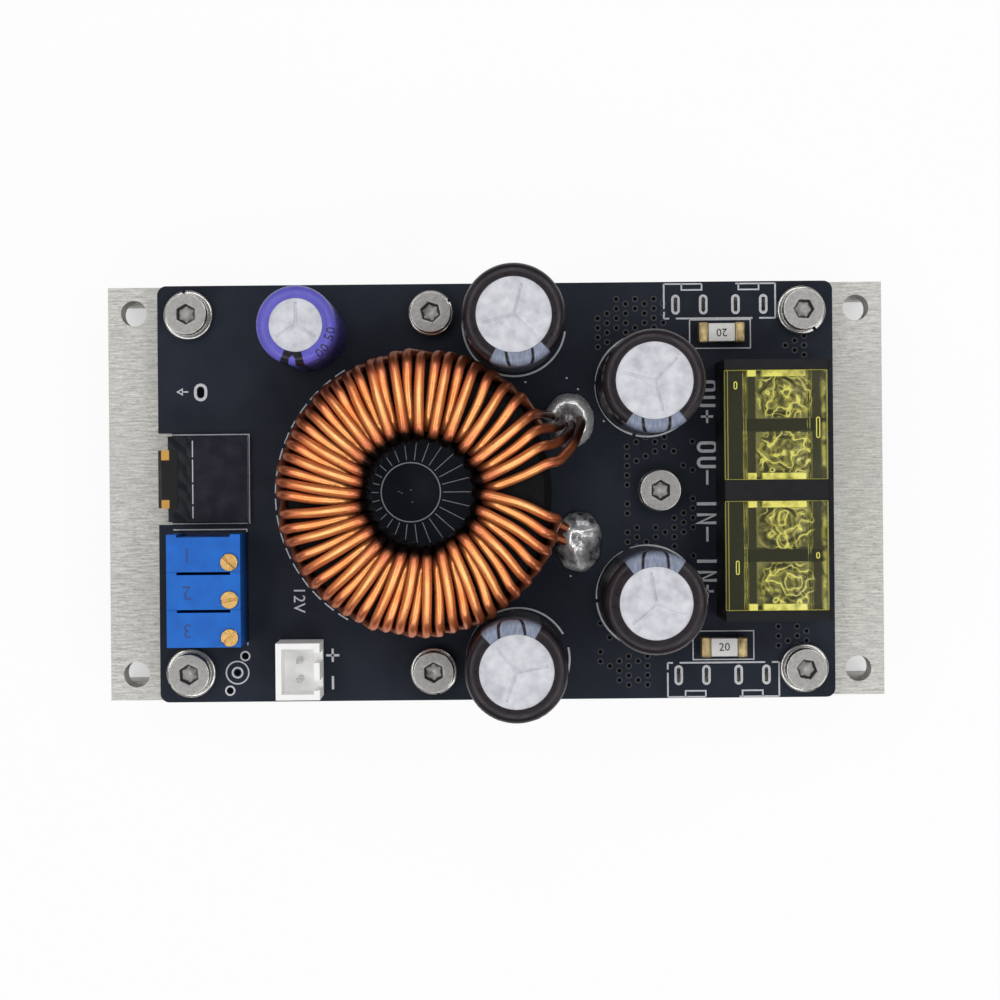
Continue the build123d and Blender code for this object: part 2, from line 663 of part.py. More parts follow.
def terminal_cover(side):
    """A clip-on cover between the end walls, with ribs, legs and tabs."""
    low = TOP_Z + BLOCK_WALL_TOP
    middle = BLOCK_Y[side]
    reach = BLOCK_LENGTH / 2 - END_WALL - COVER_FIT
    x = (BLOCK_X, BLOCK_X + COVER_DEPTH)
    cover = slab(x, (middle - reach, middle + reach), (low, low + COVER_THICK))
    bays = (
        (middle - reach, middle - MIDDLE_WALL / 2 - COVER_FIT),
        (middle + MIDDLE_WALL / 2 + COVER_FIT, middle + reach),
    )
    ribs = (x[0] + BLOCK_BACK + COVER_FIT, x[0] + COVER_RIB_IN + COVER_CHANNEL)
    for bay in bays:
        for rib in ribs:
            cover += slab((rib, rib + COVER_RIB), bay, (low - COVER_RIB_DROP, low))
    leg = (CLAMP_X - COVER_LEG_WIDTH / 2, CLAMP_X + COVER_LEG_WIDTH / 2)
    tab = (x[0] + COVER_TAB_IN, x[0] + COVER_TAB_IN + COVER_TAB_WIDTH)
    for s in SIDES:
        wide = sorted((middle + s * reach, middle + s * (reach - COVER_LEG)))
        cover += slab(leg, wide, (low - COVER_LEG_DROP, low))
        cover += slab(tab, wide, (low - COVER_TAB_DROP, low))
    return cover


def contact_plate(side, row):
    """A contact plate with a hole for its clamp screw and two pins."""
    level = TOP_Z + BLOCK_FLOOR
    bay = (BLOCK_PITCH - MIDDLE_WALL) / 2 - CONTACT_AIR
    x = (CLAMP_X - CONTACT_DEPTH / 2, CLAMP_X + CONTACT_DEPTH / 2)
    plate = slab(x, (row - bay, row + bay), (level, level + CONTACT_THICK))
    plate -= rod((CLAMP_X, row), level, level + CONTACT_THICK, CLAMP_SHANK_RADIUS + THREAD_CLEARANCE)
    for place in contact_pins(side):
        if place[1] == row:
            plate += rod(place, UNDER_Z - LEAD_TAIL, level, CONTACT_PIN_RADIUS)
    return plate


def clamp_washer(row):
    """A square washer under a clamp screw's head."""
    half = CLAMP_WASHER / 2
    low = contact_level()
    high = low + CLAMP_WASHER_THICK
    washer = slab((CLAMP_X - half, CLAMP_X + half), (row - half, row + half), (low, high))
    return washer - rod((CLAMP_X, row), low, high, CLAMP_SHANK_RADIUS + SCREW_CLEARANCE)


def clamp_screw(row):
    """A pan-head clamp screw with a slotted cross recess."""
    seat = contact_level() + CLAMP_WASHER_THICK
    crown = seat + CLAMP_HEAD_HEIGHT
    screw = turned([
        (0, seat), (CLAMP_HEAD_RADIUS, seat), (CLAMP_HEAD_RADIUS, crown - 2 * HEAD_BEVEL),
        (CLAMP_HEAD_RADIUS - 2 * HEAD_BEVEL, crown), (0, crown),
    ])
    reach = 2 * CLAMP_HEAD_RADIUS
    middle = Pos(0, 0, crown - CLAMP_CROSS_DEPTH / 2)
    screw -= middle * Box(reach, CLAMP_CROSS, CLAMP_CROSS_DEPTH)
    screw -= middle * Box(CLAMP_CROSS, CLAMP_CROSS_SHORT * reach, CLAMP_CROSS_DEPTH)
    screw += rod((0, 0), seat - CLAMP_SHANK, seat, CLAMP_SHANK_RADIUS)
    return Pos(CLAMP_X, row, 0) * screw


def under_board(place, size):
    """A flat part that hangs from the board's underside."""
    length, width, height = size
    x = (place[0] - length / 2, place[0] + length / 2)
    y = (place[1] - width / 2, place[1] + width / 2)
    return slab(x, y, (UNDER_Z - height, UNDER_Z))


def heat_pad(side):
    """A soft pad between two power transistors and the heatsink."""
    margin = HEAT_PAD_MARGIN
    x = (SWITCH_X[0] - SWITCH_LENGTH / 2 - margin, SWITCH_X[1] + SWITCH_LENGTH / 2 + margin)
    y = (side * SWITCH_Y - SWITCH_WIDTH / 2 - margin, side * SWITCH_Y + SWITCH_WIDTH / 2 + margin)
    return slab(x, y, (PLATE_Z, UNDER_Z - SWITCH_HEIGHT))


save("heatsink", heatsink())
save("circuit_board", board())
save("board_screws", [board_screw(place) for place in SCREWS])
save("screw_washers", [board_washer(*pair) for pair in zip(SCREWS, WASHER_SPLITS)])
save("board_spacers", [standoff(place) for place in SCREWS])
save("inductor_core", core())
strands = [wire(strand_path(strand)) for strand in range(STRANDS)]
save("inductor_winding", strands)
save("solder_joint_upper", solder_joint(JOINT_UPPER, JOINT_UPPER_REACH, strands))
save("solder_joint_lower", solder_joint(JOINT_LOWER, JOINT_LOWER_REACH, strands))

for number, (x, y, angle) in enumerate(CANS, 1):
    can, sleeve = capacitor(CAN_RADIUS, CAN_HEIGHT, CAN_DISC_RADIUS, angle)
    save(f"capacitor_can_{number}", Pos(x, y, 0) * can)
    save(f"capacitor_sleeve_{number}", Pos(x, y, 0) * sleeve)
can, sleeve = capacitor(SMALL_CAN_RADIUS, SMALL_CAN_HEIGHT, SMALL_CAN_DISC_RADIUS, SMALL_CAN[2])
save("capacitor_can_5", Pos(SMALL_CAN[0], SMALL_CAN[1], 0) * can)
save("capacitor_sleeve_5", Pos(SMALL_CAN[0], SMALL_CAN[1], 0) * sleeve)
save("capacitor_leads", [lead for place in CANS + (SMALL_CAN,) for lead in can_lead_pair(place)])

pins = []
for number, row in enumerate(trimmer_rows(), 1):
    save(f"trimmer_body_{number}", trimmer_body(row))
    save(f"trimmer_screw_{number}", adjuster(row, ADJUSTER_TURNS[number - 1]))
    low = UNDER_Z - LEAD_TAIL
    pins += [rod(place, low, TOP_Z + TRIMMER_FEET, PIN_RADIUS) for place in trimmer_pins(row)]
save("trimmer_pins", pins)

glass, tape, cable = display()
save("display_glass", glass)
save("display_tape", tape)
save("display_flex", cable)
save("fan_header_shell", header_shell())
save("fan_header_pins", [header_pin(place) for place in header_pins()])

for number, side in enumerate(SIDES, 1):
    body, caps = fuse(side * FUSE_Y)
    save(f"fuse_body_{number}", body)
    save(f"fuse_caps_{number}", caps)

for side in BLOCK_Y:
    save(f"{side}_terminal_body", terminal_body(side))
    save(f"{side}_terminal_cover", terminal_cover(side))
    save(f"{side}_terminal_contacts", [contact_plate(side, row) for row in clamp_rows(side)])
    save(f"{side}_terminal_washers", [clamp_washer(row) for row in clamp_rows(side)])
    save(f"{side}_terminal_screws", [clamp_screw(row) for row in clamp_rows(side)])

number = 0
for side in SIDES:
    for x in SWITCH_X:
        number += 1
        size = (SWITCH_LENGTH, SWITCH_WIDTH, SWITCH_HEIGHT)
        save(f"power_transistor_{number}", under_board((x, side * SWITCH_Y), size))
save("heat_pads", [heat_pad(side) for side in SIDES])
save("controller_chip", under_board(CHIP_PLACE, (CHIP_SIZE, CHIP_SIZE, CHIP_HEIGHT)))
for number, side in enumerate(SIDES, 1):
    driver = (DRIVER_PLACE[0], side * DRIVER_PLACE[1])
    sense = (SENSE_PLACE[0], side * SENSE_PLACE[1])
    save(f"gate_driver_{number}", under_board(driver, DRIVER_SIZE))
    save(f"sense_resistor_{number}", under_board(sense, SENSE_SIZE))
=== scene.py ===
import bpy
import math
import numpy as np
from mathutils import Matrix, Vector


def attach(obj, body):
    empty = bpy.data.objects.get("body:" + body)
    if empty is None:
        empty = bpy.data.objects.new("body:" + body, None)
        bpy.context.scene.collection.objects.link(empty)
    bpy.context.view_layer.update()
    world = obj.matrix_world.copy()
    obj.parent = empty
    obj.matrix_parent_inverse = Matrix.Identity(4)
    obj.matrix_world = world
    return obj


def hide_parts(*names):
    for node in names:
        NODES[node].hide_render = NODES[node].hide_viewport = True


# The looks of the converter module. Lengths are in millimetres, in the part's own
# frame: +X towards the terminals, +Z up. They become metres where a mesh is made
# and where a finish reads a place, and the stage is laid out in metres.

BOARD_TOP = 22.6
BOARD_UNDER = 21.0
PRINT = 0.03  # how far the board's print stands up
PAD = 0.04  # the same for the bare rims of pads
HOLE = 0.02  # and for the rings, and the dark discs of painted shade, of small holes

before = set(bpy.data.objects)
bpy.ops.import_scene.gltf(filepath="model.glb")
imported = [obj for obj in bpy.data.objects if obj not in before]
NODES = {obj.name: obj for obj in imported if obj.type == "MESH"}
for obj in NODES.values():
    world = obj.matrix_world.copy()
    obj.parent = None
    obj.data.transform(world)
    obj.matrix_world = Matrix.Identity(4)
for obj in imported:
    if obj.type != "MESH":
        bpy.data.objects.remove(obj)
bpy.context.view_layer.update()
MATERIALS = {}


def srgb(*levels):
    """A colour from its 0 to 255 display levels, in the linear values that shaders take."""
    v = np.array(levels, float) / 255
    linear = np.where(v <= 0.04045, v / 12.92, ((v + 0.055) / 1.055) ** 2.4)
    return (*linear, 1.0)


def shade(colour, factor):
    """A colour made darker by a factor."""
    return (*(c * factor for c in colour[:3]), 1.0)


# ---- finishes


class Finish:
    """A material under construction: one glossy or matte shader and the nodes that feed it."""

    def __init__(self, name, colour, rough=0.5, metal=0.0, **sockets):
        self.material = MATERIALS[name] = bpy.data.materials.new(name)
        self.material.use_nodes = True
        self.tree = self.material.node_tree
        self.shader = self.tree.nodes["Principled BSDF"]
        self.colour = colour
        sockets |= {"Base_Color": colour, "Roughness": rough, "Metallic": metal}
        for socket, value in sockets.items():
            self.shader.inputs[socket.replace("_", " ")].default_value = value
        self.place = self.node("ShaderNodeTexCoord").outputs["Object"]

    def node(self, kind, **values):
        made = self.tree.nodes.new(kind)
        for key, value in values.items():
            setattr(made, key, value)
        return made

    def link(self, output, target):
        self.tree.links.new(output, target)

    def feed(self, socket, value):
        """One of the shader's sockets, fed by a value."""
        self.link(value, self.shader.inputs[socket])

    def paint(self, colour):
        self.feed("Base Color", colour)

    def stretched(self, *scale):
        """Object coordinates in metres, scaled along each axis."""
        made = self.node("ShaderNodeMapping")
        made.inputs["Scale"].default_value = scale
        self.link(self.place, made.inputs["Vector"])
        return made.outputs["Vector"]

    def noise(self, scale, detail=3.0, where=None):
        """Soft random patches, scale of them to the metre."""
        made = self.node("ShaderNodeTexNoise")
        made.inputs["Scale"].default_value = scale
        made.inputs["Detail"].default_value = detail
        self.link(where or self.place, made.inputs["Vector"])
        return made.outputs["Fac"]

    def ramp(self, value, low, high, out_low, out_high):
        """A value from low to high carried to another range and held at its ends."""
        made = self.node("ShaderNodeMapRange")
        names = ("From Min", "From Max", "To Min", "To Max")
        for socket, number in zip(names, (low, high, out_low, out_high)):
            made.inputs[socket].default_value = number
        self.link(value, made.inputs["Value"])
        return made.outputs["Result"]

    def slope(self, value, low, high, out_low, out_high):
        """A ramp over a coordinate, from one place to another in millimetres."""
        return self.ramp(value, low / 1000, high / 1000, out_low, out_high)

    def sums(self, kind, a, b=0.0):
        """One arithmetic step on two values. Either may be a plain number."""
        made = self.node("ShaderNodeMath", operation=kind)
        for socket, value in zip(made.inputs, (a, b)):
            if isinstance(value, (int, float)):
                socket.default_value = value
            else:
                self.link(value, socket)
        return made.outputs[0]

    def both(self, a, b):
        """The product of two shares."""
        return self.sums("MULTIPLY", a, b)

    def most(self, first, *others):
        """The largest of several shares."""
        for share in others:
            first = self.sums("MAXIMUM", first, share)
        return first

    def apart(self, value, middle):
        """How far a value lies from a middle, without its sign."""
        return self.sums("ABSOLUTE", self.sums("SUBTRACT", value, middle))

    def near(self, value, middle, half, soft):
        """1 where a coordinate lies within half of a middle, fading to 0 over a soft margin."""
        return self.slope(self.apart(value, middle / 1000), half, half + soft, 1, 0)

    def attribute(self, name):
        return self.node("ShaderNodeAttribute", attribute_name=name).outputs["Fac"]

    def parts(self, vector):
        """The three parts of a vector."""
        made = self.node("ShaderNodeSeparateXYZ")
        self.link(vector, made.inputs[0])
        return made.outputs

    def facing(self):
        """How squarely the surface faces up or down: 1 on level faces and 0 on walls."""
        up = self.parts(self.node("ShaderNodeNewGeometry").outputs["Normal"])["Z"]
        return self.sums("ABSOLUTE", up)

    def blend(self, share, a, b):
        """Colour a where the share is 0 and b where it is 1. Either may be a fixed colour."""
        made = self.node("ShaderNodeMix", data_type="RGBA")
        self.link(share, made.inputs[0])
        for socket, value in ((made.inputs[6], a), (made.inputs[7], b)):
            if isinstance(value, tuple):
                socket.default_value = value
            else:
                self.link(value, socket)
        return made.outputs[2]

    def tint(self, value, low, high, a, b):
        """Colour a where a value is low and b where it is high."""
        return self.blend(self.ramp(value, low, high, 0, 1), a, b)

    def patches(self, scale, a, b, low=0.35, high=0.65):
        """Colour a broken up by soft patches of b."""
        return self.tint(self.noise(scale), low, high, a, b)

    def mottle(self, scale, other):
        """The plain colour broken up by patches of another."""
        self.paint(self.patches(scale, self.colour, other))

    def wear(self, scale, low, high):
        """Roughness that wanders between two values."""
        self.feed("Roughness", self.ramp(self.noise(scale, 4.0), 0.3, 0.7, low, high))

    def relief(self, value, depth):
        """Bumps from a value, of a depth in millimetres."""
        made = self.node("ShaderNodeBump")
        made.inputs["Distance"].default_value = depth / 1000
        self.link(value, made.inputs["Height"])
        self.feed("Normal", made.outputs["Normal"])

    def grain(self, scale, depth):
        self.relief(self.noise(scale, 4.0), depth)

    def surface(self, share, a, b):
        """The finished surface: shader a where the share is 0 and b where it is 1."""
        mix = self.node("ShaderNodeMixShader")
        for socket, value in zip(mix.inputs, (share, a, b)):
            self.link(value, socket)
        output = next(n for n in self.tree.nodes if n.type == "OUTPUT_MATERIAL")
        self.link(mix.outputs[0], output.inputs["Surface"])


def plain(name, levels, rough, metal=0.0, spread=0.05, scale=900, depth=0.003, **sockets):
    """A finish with faint patches, wandering gloss and a fine grain, for any small part.

    The patches are darker by spread, scale of them to the metre, and depth is
    the grain's, in millimetres.
    """
    made = Finish(name, srgb(*levels), rough, metal, **sockets)
    made.mottle(scale, shade(made.colour, 1 - spread))
    made.wear(scale * 1.7, rough - 0.04, rough + 0.05)
    made.grain(scale * 3, depth)


def heatsink_finish():
    """Extruded aluminium with short brushed streaks along X."""
    made = Finish("brushed_aluminium", srgb(180, 178, 174), 0.45, 0.55)
    streaks = made.noise(1.0, 4.0, made.stretched(420, 3800, 3000))
    fine = made.noise(1.0, 2.0, made.stretched(1800, 7000, 5000))
    light = made.sums("ADD", made.both(streaks, 0.6), made.both(fine, 0.4))
    brushed = made.tint(light, 0.36, 0.64, srgb(148, 147, 142), srgb(214, 212, 207))
    cloud = made.ramp(made.noise(70), 0.4, 0.7, 0, 0.3)
    made.paint(made.blend(cloud, brushed, srgb(168, 166, 162)))
    made.feed("Roughness", made.ramp(light, 0.35, 0.65, 0.4, 0.56))
    made.relief(light, 0.01)


def board_finish():
    """A near-black matt solder mask over faint copper areas, with an olive cut edge."""
    made = Finish("solder_mask", srgb(27, 31, 40), 0.55, Specular_IOR_Level=0.16)
    areas = made.noise(45, 1.0)
    mask = made.tint(areas, 0.47, 0.53, srgb(19, 26, 38), srgb(26, 33, 45))
    specks = made.ramp(made.noise(2400, 2.0), 0.62, 0.8, 0, 0.3)
    mask = made.blend(specks, mask, srgb(52, 56, 64))
    edge = made.ramp(made.facing(), 0.4, 0.6, 1, 0)
    weave = made.noise(1500, 3.0, made.stretched(0.3, 0.3, 4))
    weave = made.tint(weave, 0.3, 0.7, srgb(74, 68, 44), srgb(104, 96, 62))
    made.paint(made.blend(edge, mask, weave))
    made.wear(300, 0.48, 0.62)
    made.relief(made.ramp(areas, 0.47, 0.53, 0, 1), 0.02)


def copper_finish():
    """Enamelled copper, orange on each crest, with painted shade that makes it redder on
    the flanks and near black in the gaps.

    The depth attribute says where the painted shade lies: 0 on a crest, 1 in a gap or
    at a crossing's end.
    """
    made = Finish("enamelled_copper", srgb(255, 170, 100), 0.28, 0.65,
                  Coat_Weight=0.5, Coat_Roughness=0.15)
    tone = made.patches(260, srgb(252, 178, 104), srgb(240, 142, 72), 0.35, 0.7)
    # painted shade from the depth attribute: redder on the flanks, near black in the gaps; coat and
    # gloss fade with it
    depth = made.attribute("depth")
    tone = made.tint(depth, 0.0, 0.42, tone, srgb(206, 114, 72))
    made.paint(made.tint(depth, 0.45, 0.97, tone, srgb(30, 18, 17)))
    made.feed("Coat Weight", made.ramp(depth, 0.3, 0.85, 0.5, 0.03))
    made.feed("Specular IOR Level", made.ramp(depth, 0.3, 0.85, 0.5, 0.1))
    made.wear(1400, 0.26, 0.38)
    made.grain(3000, 0.004)


def solder_finish():
    """Solder with painted highlights, near white, on its folds and painted shade in its hollows, as
    the depth attribute says.
    """
    made = Finish("solder", srgb(226, 226, 229), 0.24, 0.55)
    # a random spread of the painted highlights and painted shade
    wander = made.ramp(made.noise(900), 0.3, 0.7, -0.4, 0.4)
    depth = made.sums("ADD", made.attribute("depth"), wander)
    tone = made.tint(depth, 0.25, 0.6, srgb(255, 255, 255), srgb(190, 190, 194))
    made.paint(made.tint(depth, 0.7, 1.1, tone, srgb(84, 83, 87)))
    made.wear(1300, 0.14, 0.34)
    fine = made.both(made.noise(2200, 2.0), 0.12)
    made.relief(made.sums("ADD", made.noise(700, 2.0), fine), 0.22)


def screw_finish():
    """Nickel plate: polished where the depth attribute is 0, satin at 1, and darkening with painted
    shade towards 2.
    """
    made = Finish("nickel_steel", srgb(186, 184, 181), 0.2, 0.9)
    depth = made.attribute("depth")
    face = made.patches(2200, srgb(140, 138, 136), srgb(154, 152, 150))
    tone = made.tint(depth, 0, 1, srgb(188, 186, 183), face)
    # painted shade in the socket, from the satin face down to dark grey at 2
    made.paint(made.tint(depth, 1, 2, tone, srgb(104, 103, 102)))
    made.feed("Roughness", made.ramp(depth, 0, 1, 0.2, 0.44))
    made.grain(5000, 0.0008)


def can_finish():
    """Drawn aluminium with a cloudy matt bloom."""
    made = Finish("can_metal", srgb(206, 207, 212), 0.55, 0.2)
    cloud = made.noise(700, 6.0)
    made.paint(made.tint(cloud, 0.3, 0.72, srgb(178, 179, 186), srgb(217, 218, 224)))
    made.feed("Roughness", made.ramp(cloud, 0.3, 0.7, 0.45, 0.65))
    made.relief(cloud, 0.03)


def sleeve_finish(name, colour, band_colour, band_half, bars=False):
    """Shrunk film with a printed band on one side, and painted shade that darkens it down its wall.

    The UV map holds the turn round the sleeve, with the band's middle at one
    half, and the way outwards and down from the sleeve's upper lip in millimetres.
    The band is streaked and has two leaning strokes, or it is two plain bars
    under an arch.
    """
    made = Finish(name, colour, 0.32,
                  Coat_Weight=0.12, Coat_Roughness=0.15, Specular_IOR_Level=0.18)
    uv = made.parts(made.node("ShaderNodeUVMap", uv_map="UVMap").outputs["UV"])
    off, down = made.apart(uv["X"], 0.5), uv["Y"]
    tone = made.patches(500, colour, shade(colour, 0.82))
    if bars:
        arch = made.ramp(down, 0.7, 1.1, 0.004, 0.0145)
        outside = made.ramp(off, band_half, band_half + 0.003, 1, 0)
        inside = made.ramp(made.sums("SUBTRACT", off, arch), -0.0015, 0.0015, 0, 1)
        band = made.both(outside, made.most(inside, made.ramp(down, 0.6, 0.8, 1, 0)))
        tone = made.blend(band, tone, band_colour)
    else:
        lines = made.noise(1.0, 3.0, made.stretched(5200, 900, 900))
        film = made.tint(lines, 0.4, 0.62, shade(band_colour, 0.7), band_colour)
        tone = made.blend(made.ramp(off, band_half, band_half + 0.004, 1, 0), tone, film)
        stroke = made.apart(off, made.sums("SUBTRACT", 0.058, made.both(down, 0.011)))
        tone = made.blend(made.ramp(stroke, 0.0045, 0.0075, 1, 0), tone, colour)
    # painted shade: the wall darkens towards its foot
    made.paint(made.blend(made.ramp(down, 2.2, 9.0, 0.0, 0.75), tone, shade(colour, 0.12)))
    made.wear(1100, 0.24, 0.42)
    made.grain(420, 0.02)


# The clear covers: how far their middles lie from the module's, and where they carry painted
# highlights, as a middle, a half width and a soft margin
COVER_MIDDLE = 8.4
COVER_REBATE = (29.68, 0.02, 0.07)
COVER_RIBS = [(x, 0.03, 0.06) for x in (31.73, 32.02, 39.88, 40.19)]
COVER_BAND = (42.0, 0.08, 0.4)
COVER_ENDS = (6.64, 0.4, 0.1)
COVER_LEGS = (36.9, 2.7, 0.2)
COVER_TABS = (32.8, 0.5, 0.1)
CLAMP_X, CLAMP_Q = 37.0, 3.8
CLAMP_SPAN = (3.55, 2.5, 0.3)


def cover_finish():
    """Clear yellow plastic that lets tinted light straight through.

    Its edges, ribs, legs and tabs carry painted highlights in yellow, and so do the ripples
    over the clamp screws, which are level lines of a noise and the way from the screw.
    Between the ripples, painted shade darkens the tint of the light let through.
    All lie by Object coordinates: q is the way in Y from the nearer cover's middle.
    """
    made = Finish("clear_yellow", srgb(238, 232, 112), 0.2)
    made.wear(600, 0.14, 0.26)
    made.grain(260, 0.02)
    place = made.parts(made.place)
    x, q = place["X"], made.apart(made.sums("ABSOLUTE", place["Y"]), COVER_MIDDLE / 1000)
    # painted highlights: the walls, then the ribs, the band and the legs and tabs, in patches
    edge = made.ramp(made.facing(), 0.55, 0.97, 0.8, 0)
    patches = made.ramp(made.noise(700, 2.0), 0.42, 0.6, 0.15, 0.85)
    ribs = made.both(made.most(*(made.near(x, *rib) for rib in COVER_RIBS)), patches)
    band = made.both(made.near(x, *COVER_BAND), patches)
    feet = made.most(made.near(x, *COVER_LEGS), made.near(x, *COVER_TABS))
    feet = made.both(made.both(made.near(q, *COVER_ENDS), feet),
                     made.ramp(made.noise(500, 2.0), 0.35, 0.55, 0.25, 0.9))
    # painted highlights over the clamp screws: rings of level lines round each screw, with painted
    # shade (the groove) between them
    across, along = (made.sums("POWER", made.sums("SUBTRACT", value, middle / 1000), 2.0)
                     for value, middle in ((x, CLAMP_X), (q, CLAMP_Q)))
    away = made.sums("SQRT", made.sums("ADD", across, along))
    over = made.both(made.slope(away, 3.1, 4.0, 1, 0), made.near(q, *CLAMP_SPAN))
    level = made.sums("ADD", made.both(made.noise(420, 1.5), 5.0), made.both(away, 620))
    level = made.sums("PINGPONG", level, 0.5)
    ripple = made.ramp(level, 0.0, 0.15, 0.85, 0)
    groove = made.ramp(level, 0.25, 0.45, 0, 0.65)
    lines = made.most(made.both(made.near(x, *COVER_REBATE), 0.4), made.both(band, 0.45),
                      made.both(ribs, 0.4))
    painted_glint = made.most(edge, lines, feet, made.both(over, ripple))
    # the light let through, tinted and darkened by the painted shade over the screws; the painted
    # highlights are opaque yellow
    clear = made.node("ShaderNodeBsdfTransparent")
    made.link(made.blend(made.both(over, groove), srgb(240, 239, 212), srgb(136, 132, 82)),
              clear.inputs["Color"])
    made.paint(made.tint(painted_glint, 0.0, 0.3, srgb(190, 193, 166), srgb(240, 234, 118)))
    made.surface(made.most(painted_glint, 0.05), clear.outputs[0], made.shader.outputs[0])


def trimmer_finish():
    """Blue moulded plastic with painted shade that darkens it down its walls."""
    made = Finish("trimmer_blue", srgb(18, 92, 184), 0.42, Specular_IOR_Level=0.25)
    tone = made.patches(500, srgb(16, 108, 208), srgb(14, 98, 194))
    # painted shade: near black low on the walls, fading out towards the top
    dark = made.slope(made.parts(made.place)["Z"], 24.6, 32.2, 0.93, 0.1)
    made.paint(made.blend(dark, tone, srgb(8, 14, 30)))
    made.wear(850, 0.38, 0.47)
    made.grain(1500, 0.008)


def contact_finish():
    """Tinned contact plates with painted shade, near black, where they run in under the block's
    back.
    """
    made = Finish("contact_metal", srgb(214, 210, 200), 0.3, 0.9)
    tone = made.patches(800, made.colour, srgb(184, 180, 170))
    # painted shade where the plates run in under the block's back
    back = made.slope(made.parts(made.place)["X"], 33.8, 34.6, 1, 0)
    made.paint(made.blend(back, tone, srgb(30, 30, 28)))
    made.wear(1300, 0.26, 0.36)
    made.grain(2400, 0.01)


def glass_finish():
    """Dark display glass, ribbed on the bare ledge at its left."""
    made = Finish("display_glass", srgb(32, 30, 40), 0.2, Specular_IOR_Level=0.3)
    ribs = made.node("ShaderNodeTexWave", wave_type="BANDS", bands_direction="DIAGONAL")
    ribs.inputs["Scale"].default_value = 260
    ribs.inputs["Distortion"].default_value = 2.0
    made.link(made.place, ribs.inputs["Vector"])
    ledge = made.tint(ribs.outputs["Fac"], 0.3, 0.7, srgb(22, 24, 29), srgb(38, 41, 46))
    left = made.slope(made.parts(made.place)["X"], -40.51, -40.49, 1, 0)
    made.paint(made.blend(left, srgb(31, 30, 42), ledge))
    made.wear(500, 0.14, 0.26)
    made.grain(900, 0.002)


def flex_finish():
    """Near-black cable film with gilded corners where it leaves the display."""
    made = Finish("flex_film", srgb(17, 15, 15), 0.5, Specular_IOR_Level=0.2)
    place = made.parts(made.place)
    ends = made.slope(made.apart(place["Y"], 0.0019), 2.6, 2.7, 0, 1)
    corner = made.both(ends, made.near(place["X"], -43.95, 0.5, 0.05))
    made.paint(made.blend(corner, made.colour, srgb(206, 156, 76)))
    made.wear(700, 0.4, 0.55)
    made.grain(900, 0.004)


for make_finish in (heatsink_finish, board_finish, copper_finish, solder_finish, screw_finish,
                    can_finish, cover_finish, trimmer_finish, contact_finish, glass_finish,
                    flex_finish):
    make_finish()
sleeve_finish("dark_sleeve", srgb(35, 28, 34), srgb(140, 149, 170), 0.098)
sleeve_finish("violet_sleeve", srgb(100, 95, 194), srgb(26, 24, 34), 0.049, bars=True)
for row in (
    # opaque yellow for the painted highlights on the covers' moulding marks
    ("painted_glint_yellow", (226, 220, 96), 0.3, 0, 0.1, 900, 0.004),
    ("clamp_steel", (244, 242, 234), 0.34, 0.6, 0.2, 900, 0.02),
    ("nickel_brass", (198, 188, 168), 0.3, 1),
    ("tinned_wire", (206, 206, 204), 0.25, 1),
    ("adjuster_brass", (226, 182, 112), 0.3, 0.85, 0.1, 1500, 0.008),
    ("foam_tape", (30, 30, 31), 0.8),
    ("fuse_ceramic", (220, 219, 216), 0.4, 0, 0.08, 900, 0.01),
    ("fuse_caps", (178, 156, 112), 0.34, 0.7, 0.5, 700, 0.05),
    ("chip_resin", (30, 30, 31), 0.6, 0, 0.2, 1500, 0.01),
    ("heat_pad", (140, 152, 164), 0.75, 0, 0.1, 800, 0.03),
    ("resistor", (28, 28, 29), 0.5),
    ("silk_print", (196, 199, 204), 0.6, 0, 0.12, 2500, 0.004),
    ("via_ring", (66, 66, 70), 0.5, 0.2, 0.3, 900, 0.004),
    ("dark_print", (22, 62, 134), 0.5, 0, 0.2, 2000, 0.002),
    ("sleeve_print", (112, 106, 110), 0.5, 0, 0.2, 2000, 0.002),
    ("violet_print", (32, 26, 62), 0.5, 0, 0.2, 2000, 0.002),
):
    plain(*row)
# near black: painted shade for the insides of small holes, and also the dark print of the fuse
# numbers
plain("hole_shade_and_print", (8, 8, 9), 0.8, Specular_IOR_Level=0.05)
plain("core_coating", (12, 12, 14), 0.7, 0, 0.3, 700, 0.02, Specular_IOR_Level=0.12)
plain("terminal_plastic", (21, 22, 25), 0.6, 0, 0.2, 800, 0.012, Specular_IOR_Level=0.2)
# white plastic with a faint painted glow (emission) that lightens its shaded inside
plain("header_plastic", (232, 232, 231), 0.45, 0, 0.03, 500, 0.008,
      Emission_Color=srgb(255, 255, 255), Emission_Strength=0.1)

# The finish of each of the part's own nodes, by a piece of its name. The first that fits holds.
CAD_FINISH = {
    "brushed_aluminium": "heatsink",
    "solder_mask": "circuit_board",
    "nickel_steel": "board_screws screw_washers",
    "nickel_brass": "board_spacers",
    "core_coating": "inductor_core",
    "enamelled_copper": "inductor_winding",
    "solder": "solder_joint",
    "can_metal": "capacitor_can",
    "violet_sleeve": "capacitor_sleeve_5",
    "dark_sleeve": "capacitor_sleeve",
    "tinned_wire": "capacitor_leads trimmer_pins fan_header_pins",
    "trimmer_blue": "trimmer_body",
    "adjuster_brass": "trimmer_screw",
    "display_glass": "display_glass",
    "foam_tape": "display_tape",
    "flex_film": "display_flex",
    "header_plastic": "fan_header_shell",
    "fuse_ceramic": "fuse_body",
    "fuse_caps": "fuse_caps",
    "chip_resin": "power_transistor controller_chip gate_driver",
    "heat_pad": "heat_pads",
    "resistor": "sense_resistor",
    "terminal_plastic": "terminal_body",
    "clear_yellow": "terminal_cover",
    "contact_metal": "terminal_contacts",
    "clamp_steel": "terminal_washers terminal_screws",
}
for node_name, node in NODES.items():
    key = next(finish for finish, words in CAD_FINISH.items()
               if any(word in node_name for word in words.split()))
    node.data.materials.clear()
    node.data.materials.append(MATERIALS[key])


